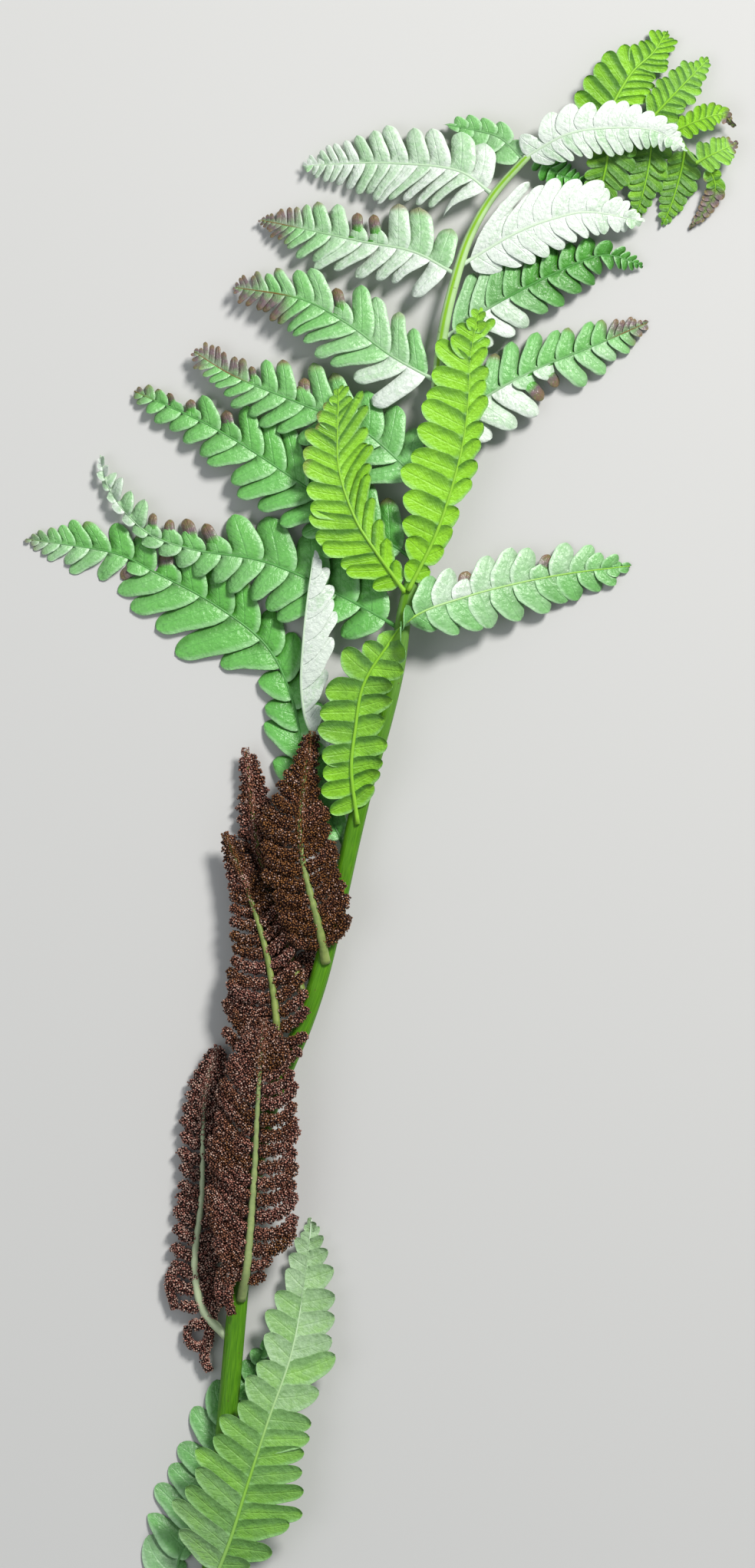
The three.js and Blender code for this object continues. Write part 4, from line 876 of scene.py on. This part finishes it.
class Value:
    """An output of a shader node. Arithmetic on it adds math nodes."""

    def __init__(self, look, socket):
        self.look, self.socket = look, socket

    def __add__(self, other):
        return self.look.math("ADD", self, other)

    def __sub__(self, other):
        return self.look.math("SUBTRACT", self, other)

    def __mul__(self, other):
        return self.look.math("MULTIPLY", self, other)

    def clamped(self):
        self.socket.node.use_clamp = True
        return self


class Look:
    """A material, with short calls that add and link its shader nodes."""

    def __init__(self, name, roughness, specular=0.4):
        self.material = bpy.data.materials.new(name)
        self.material.use_nodes = True
        self.tree = self.material.node_tree
        self.shader = self.tree.nodes["Principled BSDF"]
        self.put(self.shader.inputs["Roughness"], roughness)
        self.put(self.shader.inputs["Specular IOR Level"], specular)

    def put(self, socket, value):
        """Links a value to the socket, or sets a number, a vector or a colour on it."""
        if isinstance(value, Value):
            self.tree.links.new(value.socket, socket)
        elif isinstance(value, tuple) and len(value) < len(socket.default_value):
            socket.default_value = (*value, 1)
        else:
            socket.default_value = value

    def add(self, kind, output, inputs, **settings):
        node = self.tree.nodes.new(kind)
        for key, value in settings.items():
            setattr(node, key, value)
        for key, value in inputs.items():
            self.put(node.inputs[key], value)
        return Value(self, node.outputs[output])

    def math(self, operation, *values):
        return self.add("ShaderNodeMath", 0, dict(enumerate(values)), operation=operation)

    def mix(self, factor, a, b):
        return self.add("ShaderNodeMix", 2, {0: factor, 6: a, 7: b}, data_type="RGBA")

    def noise(self, scale, detail=3, vector=None):
        if vector is None:
            vector = self.add("ShaderNodeTexCoord", "Object", {})
        inputs = {"Scale": scale, "Detail": detail, "Vector": vector}
        return self.add("ShaderNodeTexNoise", "Fac", inputs)

    def ramp(self, value, low, high):
        """Rises smoothly from 0 at low to 1 at high."""
        inputs = {"Value": value, "From Min": low, "From Max": high}
        return self.add("ShaderNodeMapRange", "Result", inputs, interpolation_type="SMOOTHSTEP")

    def paint(self):
        """The four numbers that each point carries."""
        colour = self.add("ShaderNodeAttribute", "Color", {}, attribute_name="paint")
        parts = self.add("ShaderNodeSeparateColor", 0, {0: colour}).socket.node
        outputs = [*parts.outputs, colour.socket.node.outputs["Alpha"]]
        return [Value(self, output) for output in outputs]

    def place(self):
        """Where a point lies on its lobe or stem: the pair, how far along it and how far across."""
        pair = self.add("ShaderNodeUVMap", "UV", {}, uv_map="lobe")
        parts = self.add("ShaderNodeSeparateXYZ", 0, {0: pair}).socket.node
        return pair, Value(self, parts.outputs["X"]), Value(self, parts.outputs["Y"])

    def done(self, colour, height, distance, strength=0.3):
        """Sets the colour, adds relief of this height and distance, and gives the material."""
        self.put(self.shader.inputs["Base Color"], colour)
        inputs = {"Strength": strength, "Distance": distance, "Height": height}
        self.put(self.shader.inputs["Normal"], self.add("ShaderNodeBump", "Normal", inputs))
        return self.material


BROWN_TIP = (0.18, 0.10, 0.022)
PURPLE_TIP = (0.135, 0.085, 0.11)
GREY_TIP = (0.32, 0.24, 0.22)
RIB_HIGHLIGHT = (0.60, 0.74, 0.56)


def leaf_material(name, deep, fresh, highlight_colours, vein_shade, roughness):
    """Green by tone and noise, with painted shade, a painted highlight that pales it, and brown tips.
    """
    n = Look(name, roughness, 0.5)
    brown, pale, tone, chance = n.paint()
    fine = n.noise(1100, 4)
    _, out, side = n.place()

    # Painted shade: deeper at a lobe's foot and where the next lobe lies over it
    part = tone + (n.noise(170) - 0.5) * 1.1 + (chance - 0.5) * 0.3
    painted_shade = n.ramp(side, 0.5, 0.92) + n.ramp(out, 0.14, 0) * 0.5
    colour = n.mix((part - painted_shade * 0.75).clamped(), deep, fresh)

    # A midvein, and side veins that slant away from it
    across = n.math("ABSOLUTE", side - 0.5)
    side_veins = n.ramp(n.math("COSINE", (out * 7 - across * 5) * (2 * math.pi)), 0.6, 1)
    side_veins = side_veins * n.ramp(across, 0.45, 0.2)
    veins = n.math("MAXIMUM", side_veins * 0.35, n.ramp(across, 0.05, 0))
    colour = n.mix(veins * 0.22, colour, vein_shade)

    # Painted highlight that pales the lobe, strongest on the raised margin and mottled
    rim = n.ramp(side, 0.22, 0.03) * 0.6
    mottle = n.noise(420, 2) * 0.9 + 0.6
    light = ((pale + rim) * (fine + 0.55) * mottle).clamped()
    colour = n.mix(light, colour, n.mix(n.ramp(pale, 0.25, 0.85), *highlight_colours))

    # Dry parts: purple, then brown outwards, and mottled with grey
    outer = (n.ramp(out, 0.55, 0.95) + (n.noise(260, 2) - 0.5)).clamped()
    dry = n.mix(fine * 0.5, n.mix(outer, PURPLE_TIP, BROWN_TIP), GREY_TIP)
    colour = n.mix((brown * (fine * 0.8 + 0.55)).clamped(), colour, dry)
    height = fine * 0.8 - veins * 0.35 + n.noise(650, 2) * 1.5
    return n.done(colour, height, 0.0004, 0.65)


def rib_material(name, colour, dark):
    n = Look(name, 0.42)
    brown, pale, tone, _ = n.paint()
    base = n.mix(n.noise(600) * tone, dark, colour)
    # Paler where its lobes carry a painted highlight
    base = n.mix(n.ramp(pale, 0.2, 1.1), base, RIB_HIGHLIGHT)
    return n.done(n.mix(brown, base, BROWN_TIP), n.noise(1600), 0.0001)


def costa_material():
    n = Look("brown_leaflet_rib", 0.45)
    green = n.mix(n.ramp(n.noise(500), 0.3, 0.7), (0.14, 0.21, 0.03), (0.26, 0.34, 0.07))
    return n.done(n.mix(n.paint()[0], green, (0.52, 0.62, 0.38)), n.noise(2000), 0.00008)


def case_material():
    """Each case is painted light at its crown and painted dark, as shade, where it meets the others;
    some carry a painted highlight.
    """
    n = Look("spore_cases", 0.5, 0.35)
    chance, shade, other, crown = n.paint()
    warm = n.mix(chance, (0.07, 0.022, 0.003), (0.36, 0.15, 0.035))
    cool = n.mix(chance, (0.13, 0.035, 0.025), (0.66, 0.29, 0.22))
    colour = n.mix(n.ramp(n.noise(110, 2) + shade * 0.4, 0.5, 0.95), warm, cool)
    # Painted highlights on a random share of the cases, more of them as the tint rises
    bright = n.ramp(other + shade * 0.22, 0.81, 1.01)
    colour = n.mix(bright * 0.85, colour, (0.76, 0.52, 0.42))
    # Painted shade: dark below each crown and over cases between arms
    colour = n.mix(n.ramp(crown, 0.7, 0) * 0.9, colour, (0.03, 0.006, 0.003))
    return n.done(colour, n.noise(4000, 2), 0.00006)


def plain_material(name, dark, light, scale, roughness):
    n = Look(name, roughness)
    colour = n.mix(n.ramp(n.noise(scale), 0.3, 0.7), dark, light)
    return n.done(colour, n.noise(scale * 4), 0.00008)


def stalk_material():
    """Streaked along the stem; where a painted highlight pales it, a channel on top stays green."""
    n = Look("stalk_skin", 0.45, 0.25)
    pair, _, side = n.place()
    streaks = n.add("ShaderNodeMapping", "Vector", {"Vector": pair, "Scale": (30, 16, 1)})
    lines = n.noise(3, 4, streaks)
    green = n.mix(n.ramp(lines, 0.25, 0.75), (0.05, 0.18, 0.003), (0.105, 0.29, 0.007))
    channel = n.ramp(n.math("ABSOLUTE", side - 0.21), 0.02, 0.08)
    skin = n.mix(channel, (0.24, 0.50, 0.02), (0.46, 0.68, 0.32))
    green = n.mix((n.paint()[1] * (n.noise(150) + 0.5)).clamped(), green, skin)
    specks = n.ramp(n.noise(750, 2), 0.68, 0.74)
    return n.done(n.mix(specks * 0.55, green, (0.09, 0.07, 0.02)), lines, 0.0003)


face_green = leaf_material("leaf_face", (0.035, 0.18, 0.012), (0.125, 0.46, 0.07),
                           ((0.34, 0.64, 0.30), (0.70, 0.78, 0.70)), (0.07, 0.28, 0.06), 0.36)
back_green = leaf_material("leaf_back", (0.065, 0.21, 0.012), (0.28, 0.65, 0.014),
                           ((0.26, 0.52, 0.17), (0.36, 0.54, 0.30)), (0.30, 0.60, 0.08), 0.5)
face_rib = rib_material("rib_face", (0.11, 0.38, 0.08), (0.06, 0.24, 0.04))
back_rib = rib_material("rib_back", (0.32, 0.62, 0.06), (0.22, 0.52, 0.02))
brown_parts = [
    costa_material(),
    # The pinnule's body, coloured near black as painted shade between the cases
    plain_material("brown_leaflet_core_shade", (0.012, 0.003, 0.002), (0.03, 0.008, 0.005), 900, 0.8),
    case_material(),
]
stalk_parts = [
    stalk_material(),
    plain_material("stalk_pith", (0.30, 0.42, 0.12), (0.52, 0.60, 0.30), 1500, 0.6),
]

# Pieces

# Share along the stalk, and how strongly a painted highlight pales it there
STALK_HIGHLIGHT = [(0, 0), (0.5, 0), (0.66, 0.25), (0.72, 0.8), (0.82, 1), (0.88, 0.7), (0.95, 0.3)]
STALK_ROWS = 260
STALK_SIDES = 24
STALK_CLEARANCE = 0.001
SKIN, PITH = 0, 1


def stalk_section(angle):
    """Factor on the stalk's radius: a shallow groove runs along its top."""
    return 1 - 0.13 * np.exp(-(((angle - np.pi / 2) / 0.33) ** 2))


def stalk_piece():
    build = Build()
    t = np.linspace(0, 1, STALK_ROWS)
    origin, _, left, normal = stalk_path.frames(t)
    radius = stalk_radius(t)
    origin[:, 2] = np.maximum(origin[:, 2], radius + STALK_CLEARANCE)
    paint = np.stack([0 * t, column(STALK_HIGHLIGHT, 1, t), 1 + 0 * t, 1 + 0 * t], 1)
    tube(build, origin, left, normal, radius, STALK_SIDES, SKIN, paint, stalk_section, PITH)
    build.points[0][:, 2] = np.maximum(build.points[0][:, 2], 0)
    build.piece("stalk_skin", "stalk", stalk_parts)


stalk_piece()
for number, (name, spec) in enumerate(GREEN.items()):
    # pinna_right_7 twists over, and the back of its rib is what shows
    rib_green = back_rib if "back" in spec or name == "pinna_right_7" else face_rib
    rng = np.random.default_rng(SEED + number)
    green_leaflet(name, spec, [face_green, back_green, rib_green], rng)
for number, (name, spec) in enumerate(BROWN.items()):
    rng = np.random.default_rng(SEED + 100 + number)
    brown_leaflet(name, spec, brown_parts, rng)


# Surroundings

def add_floor():
    half, depth = 1.5, -0.0002
    mesh = bpy.data.meshes.new("floor")
    corners = [(-half, -half, depth), (half, -half, depth), (half, half, depth), (-half, half, depth)]
    mesh.from_pydata(corners, [], [(0, 1, 2, 3)])
    look = Look("floor_pale", 0.9, 0.2)
    look.put(look.shader.inputs["Base Color"], (0.60, 0.60, 0.59))
    mesh.materials.append(look.material)
    floor = add_object("floor", mesh)


def add_light(name, place, size, power, colour):
    data = bpy.data.lights.new(name, "AREA")
    data.shape = "DISK"
    data.size = size
    data.energy = power
    data.color = colour
    light = add_object(name, data)
    light.location = place
    light.rotation_euler = (-Vector(place)).to_track_quat("-Z", "Y").to_euler()


def add_camera():
    """Camera straight above the middle of the photograph, which fills its height."""
    height, sensor = 3.0, 24.0
    data = bpy.data.cameras.new("camera")
    data.sensor_fit = "VERTICAL"
    data.sensor_height = sensor
    data.lens = sensor * height / (PHOTO_SIZE[1] * PIXEL_MM * MM)
    camera = add_object("camera", data)
    x = (PHOTO_SIZE[0] / 2 - ORIGIN_PIXEL[0]) * PIXEL_MM * MM
    y = (ORIGIN_PIXEL[1] - PHOTO_SIZE[1] / 2) * PIXEL_MM * MM
    camera.location = (x, y, height)
    bpy.context.scene.camera = camera


add_floor()
add_light("key", (0.64, 0.86, 1.08), 0.4, 25, (1.0, 0.98, 0.95))
add_light("fill", (-1.1, -0.3, 1.6), 1.4, 6, (0.95, 0.98, 1.0))
add_camera()
world = bpy.data.worlds.new("studio")
world.use_nodes = True
world.node_tree.nodes["Background"].inputs["Color"].default_value = (0.9, 0.95, 1, 1)
world.node_tree.nodes["Background"].inputs["Strength"].default_value = 0.3
bpy.context.scene.world = world
bpy.context.scene.view_settings.view_transform = "Standard"
